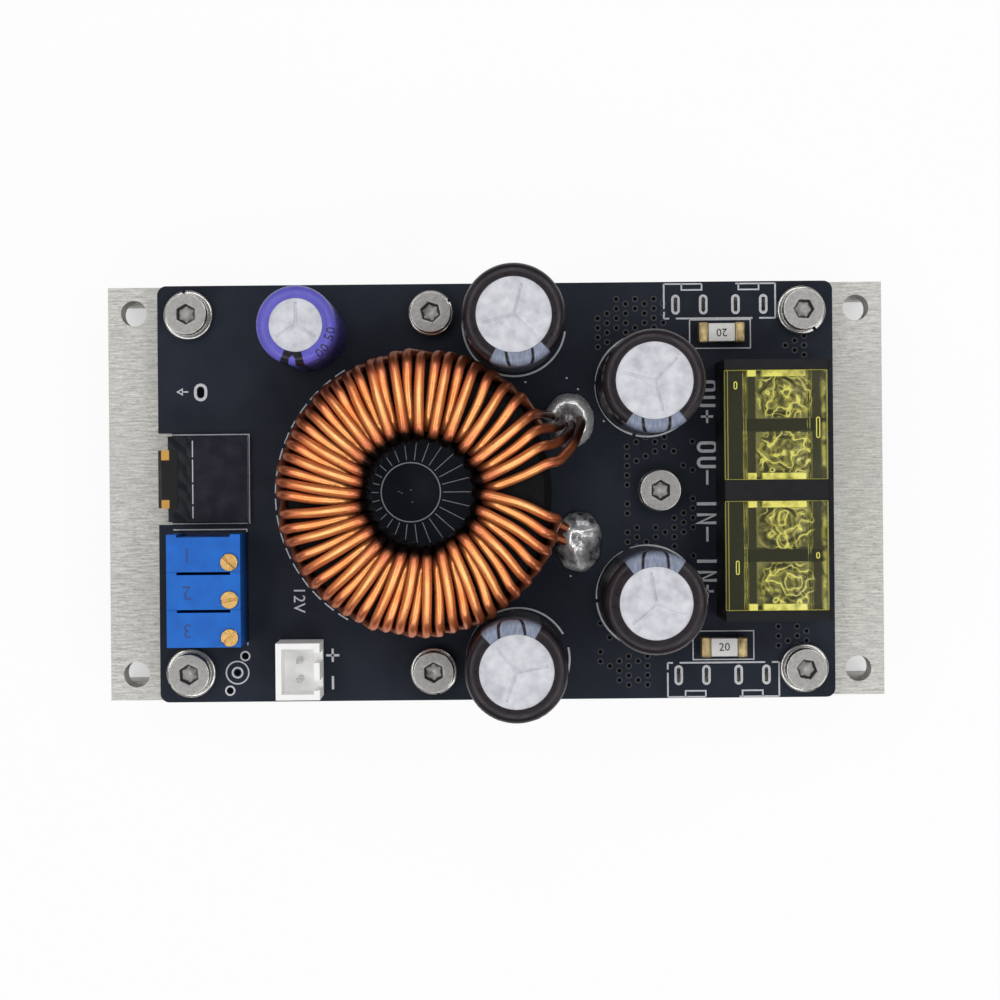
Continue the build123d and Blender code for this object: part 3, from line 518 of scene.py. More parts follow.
# ---- surfaces


def grid_faces(rows, columns, round_rows=False, round_columns=False):
    """Quads over a grid of points, joined end to end in the directions that are closed."""
    i = np.arange(rows if round_rows else rows - 1)
    j = np.arange(columns if round_columns else columns - 1)
    i, j = (a.ravel() for a in np.meshgrid(i, j, indexing="ij"))
    i2, j2 = (i + 1) % rows, (j + 1) % columns
    return np.stack([i * columns + j, i * columns + j2, i2 * columns + j2, i2 * columns + j], 1)


def shell_faces(rows, columns):
    """Quads over a row of rings, with the first ring and the last closed by one face each."""
    faces = [tuple(f) for f in grid_faces(rows, columns, round_columns=True)]
    last = (rows - 1) * columns
    return faces + [tuple(range(columns))[::-1], tuple(range(last, last + columns))]


def lathe(place, profile, turn):
    """Points of a (radius, height) profile turned about an upright axis, one ring a row."""
    radius, level = (np.asarray(column, float)[:, None] for column in zip(*profile))
    return np.stack([place[0] + radius * np.cos(turn), place[1] + radius * np.sin(turn),
                     np.broadcast_to(level, (len(profile), len(turn)))], 2)


def turns(sides):
    """Even angles round a circle, the first at 0."""
    return np.arange(sides) * 2 * np.pi / sides


def gather(surfaces):
    """Several (points, faces) surfaces as one list of points and one of faces."""
    points, faces, count = [], [], 0
    for p, f in surfaces:
        p = np.asarray(p, float).reshape(-1, 3)
        points.append(p)
        faces += [tuple(np.asarray(face) + count) for face in f]
        count += len(p)
    return np.concatenate(points), faces


def piece(name, surfaces, finish, smooth=False, replaces=(), uv=None, depth=None):
    """One object of the module from its surfaces, given in millimetres, with its finish.

    smooth is True, False or the angle up to which faces share their shading.
    """
    points, faces = gather(surfaces)
    mesh = bpy.data.meshes.new(name)
    mesh.from_pydata(points / 1000, [], faces)
    if uv is not None:
        layer = mesh.uv_layers.new(name="UVMap")
        corners = np.empty(len(mesh.loops), np.int64)
        mesh.loops.foreach_get("vertex_index", corners)
        layer.data.foreach_set("uv", np.asarray(uv, np.float32)[corners].ravel())
    if depth is not None:
        attribute = mesh.attributes.new("depth", "FLOAT", "POINT")
        attribute.data.foreach_set("value", np.asarray(depth, np.float32).ravel())
    mesh.polygons.foreach_set("use_smooth", np.full(len(mesh.polygons), bool(smooth)))
    if smooth and smooth is not True:
        mesh.set_sharp_from_angle(angle=math.radians(smooth))
    mesh.validate()
    mesh.update()
    made = bpy.data.objects.new(name, mesh)
    bpy.context.scene.collection.objects.link(made)
    mesh.materials.append(MATERIALS[finish])
    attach(made, "module")
    if replaces:
        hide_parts(*replaces)


def rounded(corners, radius, steps=5):
    """A line of corners whose inner ones are turned by short arcs, as quadratic curves."""
    corners = np.asarray(corners, float)
    out = [corners[:1]]
    share = np.linspace(0, 1, steps)[:, None]
    for before, here, after in zip(corners, corners[1:], corners[2:]):
        a, b = before - here, after - here
        la, lb = np.linalg.norm(a), np.linalg.norm(b)
        cut = min(radius, 0.48 * la, 0.48 * lb)
        start, end = here + a / la * cut, here + b / lb * cut
        out.append((1 - share) ** 2 * start + 2 * share * (1 - share) * here + share**2 * end)
    return np.concatenate([*out, corners[-1:]])


def tube(path, radius, sides):
    """A round section carried along a path without twist, with its ends closed.

    The first section's directions are turned from point to point by the
    smallest turn that keeps them square to the path.
    """
    along = np.gradient(path, axis=0)
    along /= np.linalg.norm(along, axis=1)[:, None]
    side = np.cross(along[0], [0.0, 0.0, 1.0])
    if np.linalg.norm(side) < 1e-3:
        side = np.array([1.0, 0.0, 0.0])
    frames = []
    for direction in along:
        side = side - direction * side.dot(direction)
        side = side / np.linalg.norm(side)
        frames.append(side)
    first = np.array(frames)
    second = np.cross(along, first)
    turn = turns(sides)[None, :, None]
    ring = first[:, None] * np.cos(turn) + second[:, None] * np.sin(turn)
    return path[:, None] + ring * radius, shell_faces(len(path), sides)


def block(x, y, z, radius, steps=3):
    """A box with rounded edges: an eighth of a ball pushed out to each corner."""
    middle = np.array([sum(x), sum(y), sum(z)]) / 2
    half = np.array([x[1] - x[0], y[1] - y[0], z[1] - z[0]]) / 2 - radius
    arc = np.linspace(0, np.pi / 2, steps)
    around = np.concatenate([arc + k * np.pi / 2 for k in range(4)])
    sx = np.repeat([1, -1, -1, 1], steps)
    sy = np.repeat([1, 1, -1, -1], steps)
    up = np.concatenate([arc - np.pi / 2, arc])
    sz = np.repeat([-1, 1], steps)
    flat = np.cos(up)[:, None]
    px = sx * half[0] + radius * flat * np.cos(around)
    py = sy * half[1] + radius * flat * np.sin(around)
    pz = np.broadcast_to((sz * half[2] + radius * np.sin(up))[:, None], px.shape)
    return np.stack([px, py, pz], 2) + middle, shell_faces(2 * steps, 4 * steps)


def ribbon(path, width, closed=False, low=BOARD_TOP, high=BOARD_TOP + PRINT):
    """A flat stroke of even width along a path, with mitred corners, from one level to another."""
    path = np.asarray(path, float)
    before = path - np.roll(path, 1, 0)
    after = np.roll(path, -1, 0) - path
    if not closed:
        before[0], after[-1] = after[0], before[-1]
    before /= np.linalg.norm(before, axis=1)[:, None]
    after /= np.linalg.norm(after, axis=1)[:, None]
    mitre = before + after
    mitre /= np.linalg.norm(mitre, axis=1)[:, None]
    reach = width / 2 / np.maximum(0.4, (mitre * after).sum(1))
    out = np.stack([-mitre[:, 1], mitre[:, 0]], 1) * reach[:, None]
    left, right = path + out, path - out
    rows = [(right, low), (right, high), (left, high), (left, low)]
    points = np.stack([np.column_stack([p, np.full(len(p), level)]) for p, level in rows], 1)
    if closed:
        return points, grid_faces(len(path), 4, True, True)
    return points, shell_faces(len(path), 4)


def ring_line(centre, radius, start=0.0, end=360.0, steps=72):
    """Points on a circle from one angle to another. A whole turn leaves out its last point."""
    turn = np.radians(np.linspace(start, end, steps, endpoint=end - start < 360))
    return np.column_stack([centre[0] + radius * np.cos(turn), centre[1] + radius * np.sin(turn)])


def capsule(centre, length, width, steps=8):
    """The outline of a slot that runs along Y."""
    turn = np.linspace(0, np.pi, steps)
    reach = (length - width) / 2
    top = np.column_stack([width / 2 * np.cos(turn), reach + width / 2 * np.sin(turn)])
    return np.concatenate([top, -top]) + centre


def letters(text, place, size, turn=0.0, low=BOARD_TOP, high=BOARD_TOP + PRINT):
    """Plain print as a thin mesh, centred on a place and turned about Z, in degrees."""
    curve = bpy.data.curves.new("print", "FONT")
    curve.body = text
    curve.size = size
    curve.extrude = (high - low) / 2
    curve.resolution_u = 2
    curve.align_x, curve.align_y = "CENTER", "CENTER"
    holder = bpy.data.objects.new("print", curve)
    bpy.context.scene.collection.objects.link(holder)
    graph = bpy.context.evaluated_depsgraph_get()
    mesh = bpy.data.meshes.new_from_object(holder.evaluated_get(graph))
    points = np.empty(len(mesh.vertices) * 3)
    mesh.vertices.foreach_get("co", points)
    faces = [tuple(p.vertices) for p in mesh.polygons]
    bpy.data.objects.remove(holder)
    bpy.data.curves.remove(curve)
    bpy.data.meshes.remove(mesh)
    points = points.reshape(-1, 3)
    c, s = math.cos(math.radians(turn)), math.sin(math.radians(turn))
    x = place[0] + points[:, 0] * c - points[:, 1] * s
    y = place[1] + points[:, 0] * s + points[:, 1] * c
    return np.column_stack([x, y, points[:, 2] + (low + high) / 2]), faces


# ---- the coil

STRANDS, TURNS = 4, 14
WIRE_RADIUS = 0.65
LAYER = 1.35  # how far the inner layer lies from the outer
CORE_INNER, CORE_OUTER, CORE_HEIGHT = 9.2, 16.85, 11.2
COIL_X = -9.8
COIL_LOW = BOARD_TOP + 0.1 + WIRE_RADIUS + LAYER
COIL_HIGH = COIL_LOW + CORE_HEIGHT + 2 * WIRE_RADIUS
COIL_REACH = CORE_OUTER + WIRE_RADIUS + 0.27
BEND = 1.1  # how far a strand's corners are cut off at the core's edges
TAIL = BOARD_UNDER - 1.4
# How far round a strand leans on the outer wall and down the hole, and the random
# spread of a crossing's ends and of its middle, in degrees
WALL_LEAN, HOLE_LEAN = 14, 8
END_SPREAD, MIDDLE_SPREAD = 0.35, 0.25
REACH_SPREAD = 0.2  # how unevenly the strands stand out, in millimetres
# A crossing's count, and the angles at which it starts inside and ends outside
CROSSINGS = np.array([
    (0, 5, 13), (7, 62, 66), (14, 110, 106), (21, 148, 143), (28, 185, 181),
    (35, 230, 227), (42, 271, 267), (49, 314, 307), (55, 359, 349),
], float)
FIRST_HOLES = ((11.3, 9.5), (10.0, 8.9), (8.7, 9.3), (7.4, 9.9))
# The way of each strand from its hole to its first crossing, with heights over the board
FIRST_LEADS = (
    ((11.2, 8.6, 4.0), (10.0, 6.1, 9.6), (7.9, 3.9, 13.6)),
    ((9.8, 8.0, 5.0), (8.7, 6.8, 8.6), (7.2, 6.0, 12.0)),
    ((8.6, 8.7, 4.6), (7.7, 8.3, 8.0), (6.3, 8.2, 11.5)),
    ((7.1, 9.9, 4.2), (6.2, 10.0, 7.5), (5.0, 10.1, 11.0)),
)
LAST_HOLES = ((11.33, -7.55), (9.81, -7.07), (11.79, -6.13), (10.27, -5.65))


def strand_corners(strand, rng):
    """The corner points of one strand: up outside the core, over, down inside and back under it.

    The inner and outer angle of each crossing come from a table read by its
    count; every second strand lies in the inner layer and crosses higher there.
    """
    rise = strand % 2 * LAYER
    inner = CORE_INNER - WIRE_RADIUS - rise

    def at(angle, radius, level):
        t = math.radians(angle)
        return (COIL_X + radius * math.cos(t), radius * math.sin(t), level)

    points = [(*FIRST_HOLES[strand], TAIL), (*FIRST_HOLES[strand], BOARD_TOP + 1.5)]
    points += [(x, y, BOARD_TOP + h) for x, y, h in FIRST_LEADS[strand]]
    for turn in range(TURNS):
        count = STRANDS * turn + strand
        inside, outside = (
            np.interp(count, CROSSINGS[:, 0], CROSSINGS[:, k]) + rng.normal(0, END_SPREAD)
            for k in (1, 2)
        )
        reach = COIL_REACH + rng.uniform(-REACH_SPREAD, REACH_SPREAD)
        if turn:
            points += [at(outside - WALL_LEAN, reach, COIL_LOW),
                       at(outside, reach, COIL_HIGH - BEND)]
        middle = (outside * 0.55 + inside * 0.45) + rng.normal(0, MIDDLE_SPREAD)
        points += [
            at(outside, reach - BEND, COIL_HIGH),
            at(middle, (COIL_REACH + inner) / 2 + 0.5, COIL_HIGH + 0.55 * rise + 0.1),
            at(inside, inner + BEND, COIL_HIGH + rise),
            at(inside, inner, COIL_HIGH + rise - BEND),
            at(inside + HOLE_LEAN, inner, COIL_LOW - rise),
        ]
    return points + [(*LAST_HOLES[strand], COIL_LOW - rise), (*LAST_HOLES[strand], TAIL)]


WALL_RADIUS, WALL_TOP = 15.0, COIL_HIGH - 1.2  # where a strand runs down the outer wall
LEAD_POINTS = 25  # as many of a path's first points belong to its lead


def coil_depth(points, path):
    """How much painted shade each point of a strand gets: 0 on a crest in mid crossing, 1 at most.

    It is the largest of four shares of painted shade. The flank falls with the point's height on
    the wire, or with its way outwards where the strand runs down the outer wall.
    The inner end grows inwards from a wavy edge round the hole, the outer end
    outwards near the core's rim, most at 110 degrees, and the drop grows with the
    way down from the top.
    """
    x, y, z = points[..., 0] - COIL_X, points[..., 1], points[..., 2]
    rho, angle = np.hypot(x, y), np.arctan2(y, x)
    way = np.hypot(path[:, 0] - COIL_X, path[:, 1])[:, None]
    wall = (way > WALL_RADIUS) & (path[:, None, 2] < WALL_TOP)
    lead = (np.arange(len(path)) < LEAD_POINTS)[:, None]
    crest = np.where(wall, rho - way, z - path[:, None, 2]) / WIRE_RADIUS
    # painted shade: on the wire's sides, in the hole, at the outer ends (strongest at 110 degrees
    # round) and lower down
    flank = np.clip((0.96 - crest) / 0.9, 0, 1) * 0.74
    edge = 9.5 + 0.3 * np.sin(3 * angle + 1) + 0.25 * np.sin(8 * angle)
    inner_end = np.clip((edge - rho) / 2.0, 0, 1)
    over = np.clip((z - COIL_HIGH + 2.6) / 1.4, 0, 1)
    side = 0.7 + 0.18 * np.cos(angle - math.radians(110))
    outer_end = np.where(lead, 0.55, (0.3 + 0.65 * over) * side)
    outer_end = outer_end * np.clip((rho - 15.3) / 1.9, 0, 1)
    drop = np.clip((WALL_TOP - z) / 4.0, 0, 1) * np.where(lead, 0.92, np.where(wall, 0.45, 1.0))
    return np.maximum.reduce([flank, inner_end, outer_end, drop]).ravel()


def make_coil():
    """The four strands as round wire, with a smooth bend at each of their corners."""
    rng = np.random.default_rng(4)
    strands, depth = [], []
    for strand in range(STRANDS):
        path = rounded(strand_corners(strand, rng), 1.6)
        path = path[np.r_[True, np.linalg.norm(np.diff(path, axis=0), axis=1) > 1e-4]]
        strands.append(tube(path, WIRE_RADIUS, 12))
        # each strand's painted shade, carried as the depth attribute
        depth.append(coil_depth(strands[-1][0], path))
    piece("coil_wire", strands, "enamelled_copper", True, ("inductor_winding",),
          depth=np.concatenate(depth))


# ---- the solder joints

SOLDER_HEIGHT = 3.0
# Place, half lengths, height of the flat parts, how much painted shade they get, the folds'
# width, and the folds: lines of points about the joint's place
JOINTS = {
    "upper": ((9.8, 9.4), (3.4, 3.7), 0.3, 0.84, 1.2, (
        ((-2.6, 1.0), (-1.9, 2.2), (-0.6, 2.75), (1.0, 2.5), (2.1, 1.4), (2.4, 0.0), (2.1, -1.4),
         (1.3, -2.7)),
    )),
    "lower": ((10.85, -6.75), (3.25, 4.1), 0.85, 0.86, 0.55, (
        ((-2.1, 2.8), (-1.3, 1.5), (-1.2, 0.2), (-0.5, -1.3), (0.1, -3.3)),
        ((-1.3, 1.5), (0.6, 1.4), (2.4, 1.8)), ((0.5, 0.8), (1.9, 0.7)),
        ((-1.6, -3.2), (0.1, -3.5), (1.7, -3.1)), ((-0.9, -0.4), (0.4, -1.2)),
    )),
}


def fold_share(x, y, folds, width):
    """How near each point lies to the nearest of some lines: exp(-(distance / width)^2)."""
    share = np.zeros_like(x)
    for line in folds:
        for (x0, y0), (x1, y1) in zip(line, line[1:]):
            dx, dy = x1 - x0, y1 - y0
            way = np.clip(((x - x0) * dx + (y - y0) * dy) / (dx * dx + dy * dy), 0, 1)
            distance = np.hypot(x - x0 - way * dx, y - y0 - way * dy)
            share = np.maximum(share, np.exp(-(distance / width) ** 2))
    return share


def make_solder():
    """Two lumpy oval mounds.

    Each is a low dome over an oval, (1 - r^2.4)^0.55 of its height times a flat
    share, with folds raised on it along its lines and a few random waves in r and t.
    The depth attribute is 0 on a fold, its painted highlight, and grows to the joint's
    own share of painted shade.
    """
    sides, rows = 96, 40
    t = turns(sides)[None, :]
    r = np.linspace(1, 0.02, rows)[:, None]
    for number, (name, joint) in enumerate(JOINTS.items()):
        place, reach, flat, hollow_shade, width, folds = joint
        rng = np.random.default_rng(20 + number)
        swell = sum(rng.normal(0, 0.012) * np.cos(k * t + rng.uniform(0, 6)) for k in range(2, 9))
        lump = sum(
            rng.normal(0, 0.5) * np.cos(k * t + m * 4 * r + rng.uniform(0, 6)) / (k + m)
            for k in range(1, 8) for m in (0, 1, 2)
        )
        x = reach[0] * r * (1 + swell * r) * np.cos(t)
        y = reach[1] * r * (1 + swell * r) * np.sin(t)
        fold = fold_share(x, y, folds, width)
        dome = SOLDER_HEIGHT * (1 - r**2.4) ** 0.55
        height = dome * (flat * (1 + 0.2 * lump * r) + (1 - flat) * fold)
        height = np.clip(height, 0, SOLDER_HEIGHT)
        points = np.stack([place[0] + x, place[1] + y, BOARD_TOP + height], 2)
        # depth: painted highlight on the folds, painted shade elsewhere
        piece(f"solder_mound_{name}", [(points, shell_faces(rows, sides))], "solder", True,
              (f"solder_joint_{name}",), depth=(1 - fold) * hollow_shade)


# ---- screws

# Place, the washer's radius and split and the turn of the socket, in degrees
SCREWS = (
    ((-40.8, -23.8), 3.3, -150, 4), ((-40.8, 23.8), 3.3, 100, 0), ((40.8, -23.8), 3.25, -60, 20),
    ((40.8, 23.8), 3.25, -56, 27), ((-8.5, 23.8), 3.05, 35, 12), ((-8.5, -23.8), 3.15, -80, 3),
    ((21.7, 0.0), 2.9, -68, 0),
)
WASHER_TOP = BOARD_TOP + 0.8
WASHER_BORE = 1.6
WASHER_GAP = 4.2  # half the split, in degrees
HEAD = 2.4
# Radius, height over the washer, whether the row is six-sided, and the finish:
# 0 polished, 1 satin, 2 dark with painted shade; the socket's rows take painted shade,
# 2 on its walls and 1.6 to 0.8 down its floor
SCREW_ROWS = (
    (0.02, -10.0, 0, 0), (1.3, -10.0, 0, 0), (1.5, -9.8, 0, 0), (1.5, -0.01, 0, 0),
    (1.52, 0, 0, 0), (2.65, 0, 0, 0), (2.75, 0.1, 0, 0), (2.75, HEAD - 0.16, 0, 0),
    (2.72, HEAD - 0.07, 0, 0), (2.66, HEAD - 0.02, 0, 0), (2.6, HEAD, 0, 0), (2.57, HEAD, 0, 1),
    (1.6, HEAD, 0, 1), (1.24, HEAD, 1, 1), (1.22, HEAD - 0.01, 1, 0), (1.14, HEAD - 0.1, 1, 0),
    (1.13, HEAD - 0.13, 1, 2), (1.09, HEAD - 0.9, 1, 2), (0.95, HEAD - 1.1, 1, 1.6),
    (0.8, HEAD - 1.15, 0, 1.4), (0.35, HEAD - 1.3, 0, 1.1), (0.02, HEAD - 1.35, 0, 0.8),
)


def make_screws():
    """Socket screws and split washers.

    A screw is rows of points round its axis. A row's radius is r on the turned
    parts and r / cos(t - nearest 60 degrees) on the six-sided socket. A washer is
    a rounded section turned about the axis, short of its split.
    """
    sides, steps = 96, 90
    t = turns(sides)
    flats = 1 / np.cos((t + np.pi / 6) % (np.pi / 3) - np.pi / 6)
    radius, height, six, look = (np.array(column, float)[:, None] for column in zip(*SCREW_ROWS))
    reach = np.where(six > 0, radius * flats, radius)
    height = np.broadcast_to(WASHER_TOP + height, reach.shape)
    shafts, washers = [], []
    for place, washer, split, turn in SCREWS:
        a = t + math.radians(turn)
        points = np.stack([place[0] + reach * np.cos(a), place[1] + reach * np.sin(a), height], 2)
        shafts.append((points, shell_faces(len(SCREW_ROWS), sides)))
        section = rounded([
            (2.4, BOARD_TOP), (washer, BOARD_TOP), (washer, WASHER_TOP), (WASHER_BORE, WASHER_TOP),
            (WASHER_BORE, BOARD_TOP), (2.4, BOARD_TOP),
        ], 0.3)[:-1]
        around = np.radians(np.linspace(split + WASHER_GAP, split + 360 - WASHER_GAP, steps))
        points = lathe(place, section, around).transpose(1, 0, 2)
        washers.append((points, shell_faces(steps, len(section))))
    look = np.tile(np.broadcast_to(look, reach.shape).ravel(), len(SCREWS))
    piece("screws", shafts, "nickel_steel", 40, ("board_screws",), depth=look)
    polished = np.zeros(sum(p[..., 0].size for p, _ in washers))
    piece("washers", washers, "nickel_steel", 60, ("screw_washers",),
          depth=polished)


# ---- capacitors

CAN_HEIGHT = 20.0
CAN_RADIUS, VIOLET_RADIUS = 6.5, 5.0
VIOLET_PLACE, VIOLET_DISC, VIOLET_BAND = (-24.9, 21.2), 3.35, -96
# Place, the angles of the grey band and of the print, and the disc's radius
CANS = (
    ((2.3, 22.3), -82, 195, 4.75), ((2.3, -22.3), 97, -130, 4.7),
    ((19.8, 13.9), -88, 160, 4.85), ((19.8, -13.9), 91, -60, 4.6),
)


def sleeve_outline(radius, disc):
    """A sleeve's profile from its lip out and down to its foot, and the way along it."""
    top, groove = BOARD_TOP + CAN_HEIGHT, BOARD_TOP + 2.4
    outline = rounded([
        (radius, BOARD_TOP), (radius, groove - 0.8), (radius - 0.6, groove),
        (radius, groove + 0.8), (radius, top - 0.8), (radius - 0.35, top - 0.18),
        (radius - 1.0, top - 0.02), (disc + 0.12, top), (disc, top - 0.1), (disc, top - 0.25),
    ], 0.5)[::-1]
    return outline, np.r_[0, np.cumsum(np.linalg.norm(np.diff(outline, axis=0), axis=1))]


def sleeve(name, number, place, radius, disc, band_angle, kind):
    """A shrunk sleeve: its outline is turned about the can's axis, with the band at u = 0.5.

    v is the way along the outline from the disc's edge, in millimetres.
    """
    outline, way = sleeve_outline(radius, disc)
    inside = radius - 0.85
    outline = np.concatenate([
        [(inside, BOARD_TOP)], outline[::-1], [(inside, BOARD_TOP + CAN_HEIGHT - 0.25)],
    ])
    way = np.r_[way[-1], way[::-1], 0]
    turn = np.append(turns(96), 2 * np.pi)
    points = lathe(place, outline, turn + math.radians(band_angle) + np.pi)
    shape = points.shape[:2]
    u, v = np.broadcast_to(turn / (2 * np.pi), shape), np.broadcast_to(way[:, None], shape)
    piece(name, [(points, grid_faces(*shape, round_rows=True))], kind, 50,
          (f"capacitor_sleeve_{number}",), uv=np.stack([u, v], 2).reshape(-1, 2))


def sleeve_text(words, place, radius, disc, angle, size, level):
    """Plain print bent round a sleeve, just proud of it.

    x becomes an angle and y a way down the outline from the given level.
    """
    points, faces = letters(words, (0, 0), size, 0, 0, 0.02)
    outline, way = sleeve_outline(radius, disc)
    down = level - points[:, 1]
    r = np.interp(down, way, outline[:, 0]) + 0.01 + points[:, 2]
    z = np.interp(down, way, outline[:, 1]) + 0.01 + points[:, 2] * 0.5
    t = math.radians(angle) + points[:, 0] / radius
    return np.column_stack([place[0] + r * np.cos(t), place[1] + r * np.sin(t), z]), faces


def make_capacitors():
    """The five sleeves with their print. The cans are the part's own."""
    marks = []
    for number, (place, band, angle, disc) in enumerate(CANS, 1):
        sleeve(f"sleeve_{number}", number, place, CAN_RADIUS, disc, band, "dark_sleeve")
        for words, turn in (("1000", angle), ("35V", angle + 75)):
            marks.append(sleeve_text(words, place, CAN_RADIUS, disc, turn, 2.4, 2.9))
    piece("sleeve_print", marks, "sleeve_print")
    sleeve("sleeve_violet", 5, VIOLET_PLACE, VIOLET_RADIUS, VIOLET_DISC, VIOLET_BAND,
           "violet_sleeve")
    marks = [sleeve_text(words, VIOLET_PLACE, VIOLET_RADIUS, VIOLET_DISC, angle, 2.0, level)
             for words, angle, level in (("100", -50, 1.6), ("50V", -8, 1.4))]
    piece("violet_print", marks, "violet_print")


# ---- the board's print, pads and vias

BOARD_EDGE = 27.6  # print stops here in Y
SIGN_TALL, SIGN_WIDE, SIGN_STROKE = 2.78, 1.5, 0.42
CORE_SPOT = (-11.4, 0.0)
# The signs beside the terminals and their places in Y
SIGNS = (
    ("O", 13.82), ("U", 11.76), ("+", 9.75), ("O", 5.69), ("U", 3.62), ("-", 1.64),
    ("I", -1.88), ("N", -3.88), ("-", -5.94), ("I", -9.54), ("N", -11.55), ("+", -13.55),
)
CAN_RINGS = ((2.55, 22.2), (20.2, 14.0), (20.1, -14.2), (2.74, -22.4))
# The frames round the trimmers and the display
CORNER_LINES = (
    [(-32.9, -4.0), (-32.9, 7.9), (-43.3, 7.9)], [(-43.2, -3.95), (-33.2, -3.95)],
    [(-43.1, -4.75), (-33.3, -4.75), (-33.3, -20.2)],
)
TICKS = ((9.4, 15.1), (10.9, 13.6), (14.3, 9.3), (9.7, -11.3), (1.6, 17.1), (3.9, 14.6))
HEADER_SIGNS = ((-22.0, -21.65), (-22.0, -25.3))


def silk_letter(kind, place):
    """The strokes of one plain sign that reads down the board, with its top towards +X."""
    half = SIGN_STROKE / 2
    a, b = SIGN_TALL / 2 - half, SIGN_WIDE / 2 - half
    turn = np.radians(np.linspace(0, 180, 12))
    bowl = np.column_stack([b * np.cos(turn), b * np.sin(turn)])
    foot = -bowl - (0, a - b)
    lines = {
        "O": [np.concatenate([bowl + (0, a - b), foot])],
        "U": [np.concatenate([[(-b, a)], foot, [(b, a)]])],
        "I": [[(0, -a - half), (0, a + half)]],
        "N": [[(-b, -a - half), (-b, a), (b, -a), (b, a + half)]],
        "+": [[(-b * 1.6, 0), (b * 1.6, 0)], [(0, -b * 1.5), (0, b * 1.5)]],
        "-": [[(-b * 1.8, 0), (b * 1.8, 0)]],
    }[kind]
    width = 0.3 if kind in "+-" else SIGN_STROKE
    return [ribbon(np.array(line)[:, ::-1] * (1, -1) + place, width, kind == "O") for line in lines]


def core_lines():
    """A ring, rays and specks inside the coil, a broken ring round it, and rings round the cans."""
    out = [ribbon(ring_line(CORE_SPOT, 3.95), 0.16, True)]
    for k in range(26):
        t = math.radians(360 * k / 26)
        ends = [(CORE_SPOT[0] + r * math.cos(t), CORE_SPOT[1] + r * math.sin(t))
                for r in (4.3, (9.2, 8.4, 8.8)[k % 3])]
        out.append(ribbon(ends, 0.1))
    for x, y in ((-13.0, 0.1), (-11.4, 0.3), (-11.2, -1.3), (-12.6, -0.1)):
        out.append(ribbon([(x - 0.15, y), (x + 0.15, y)], 0.06))
    for k in range(18):
        start = 121 + 6.7 * k
        out.append(ribbon(ring_line((-10.1, -0.25), 19.35, start, start + 4.6, 8), 0.17))
    for number, place in enumerate(CAN_RINGS):
        for start, end in ((8, 96), (104, 168), (172, 246), (250, 352)):
            arc = ring_line(place, 6.85, start + 7 * number, end + 7 * number, 40)
            out.append(ribbon(arc[np.abs(arc[:, 1]) < BOARD_EDGE], 0.24))
    return out


def corner_frame(side, shift, y0, y1):
    """The broken frame round one row of slotted pads, and the frame round the fuse beside it."""
    x0, x1 = 22.55 + shift, 37.4 + shift
    gap = 0.6 * side
    lines = [([(a, y0), (b, y0)], 0.22)
             for a, b in ((x0, x0 + 0.7), (x0 + 1.6, x0 + 12.4 - gap), (x0 + 13.3 - gap, x1))]
    lines += [([(x0, y1), (x0, y0 + 1.3 * side)], 0.22), ([(x0, y0 + 0.9 * side), (x0, y0)], 0.22),
              ([(x1, y1), (x1, y0)], 0.22)]
    for x in (24.9 + shift, 32.5 + shift):
        notch = y1 - 0.8 * side
        lines.append(([(x, y1), (x, notch), (x + 2.7, notch), (x + 2.7, y1)], 0.2))
    lines += [([(a, y1), (b, y1)], 0.2) for a, b in ((x0, x0 + 5.0), (32.1 + shift, x1))]
    x, y = 25.95 + shift, 20.75 * side
    lines.append(([(x, y + 1.9), (x, y - 1.9), (x + 8.1, y - 1.9), (x + 8.1, y + 1.9),
                   (x, y + 1.9)], 0.15))
    return [ribbon(path, width) for path, width in lines]


def make_print():
    """White lines on the board: rings, rays, frames, outlines, ticks and plain signs."""
    strokes = core_lines()
    strokes += corner_frame(1, 0.0, 22.85, 27.45)
    strokes += corner_frame(-1, 0.1, -23.05, -BOARD_EDGE)
    strokes += [ribbon(path, 0.14) for path in CORNER_LINES]
    strokes += [ribbon([(x, y), (x + 0.22, y - 0.1)], 0.2) for x, y in TICKS]
    for kind, y in SIGNS:
        strokes += silk_letter(kind, (28.13 + 0.006 * y, y))
    strokes += [ribbon([(x, y - 0.88), (x, y + 0.88)], 0.3) for x, y in HEADER_SIGNS]
    strokes.append(ribbon([(-22.88, -21.65), (-21.12, -21.65)], 0.3))
    strokes.append(ribbon([(-42.4, 13.63), (-41.75, 14.0), (-41.75, 13.26)], 0.16, True))
    strokes.append(ribbon([(-41.75, 13.63), (-40.95, 13.63)], 0.18))
    strokes.append(letters("12V", (-26.45, -14.2), 2.2, -90))
    piece("board_print", strokes, "silk_print")


SLOT_X, SLOT_Y = (24.1, 27.8, 32.1, 35.8), 24.7
SPARE_SLOT = (-39.3, 13.55)
# Place, radius and width of the rims by the trimmers, and place and radius of their holes
RING_PADS = (((-33.65, -21.65), 0.58, 0.2), ((-34.7, -23.85), 1.5, 0.18),
             ((-34.7, -23.85), 0.66, 0.24), ((-35.7, -26.25), 0.58, 0.22))
RING_HOLES = (((-33.65, -21.65), 0.48), ((-34.7, -23.85), 0.36), ((-35.7, -26.25), 0.4))


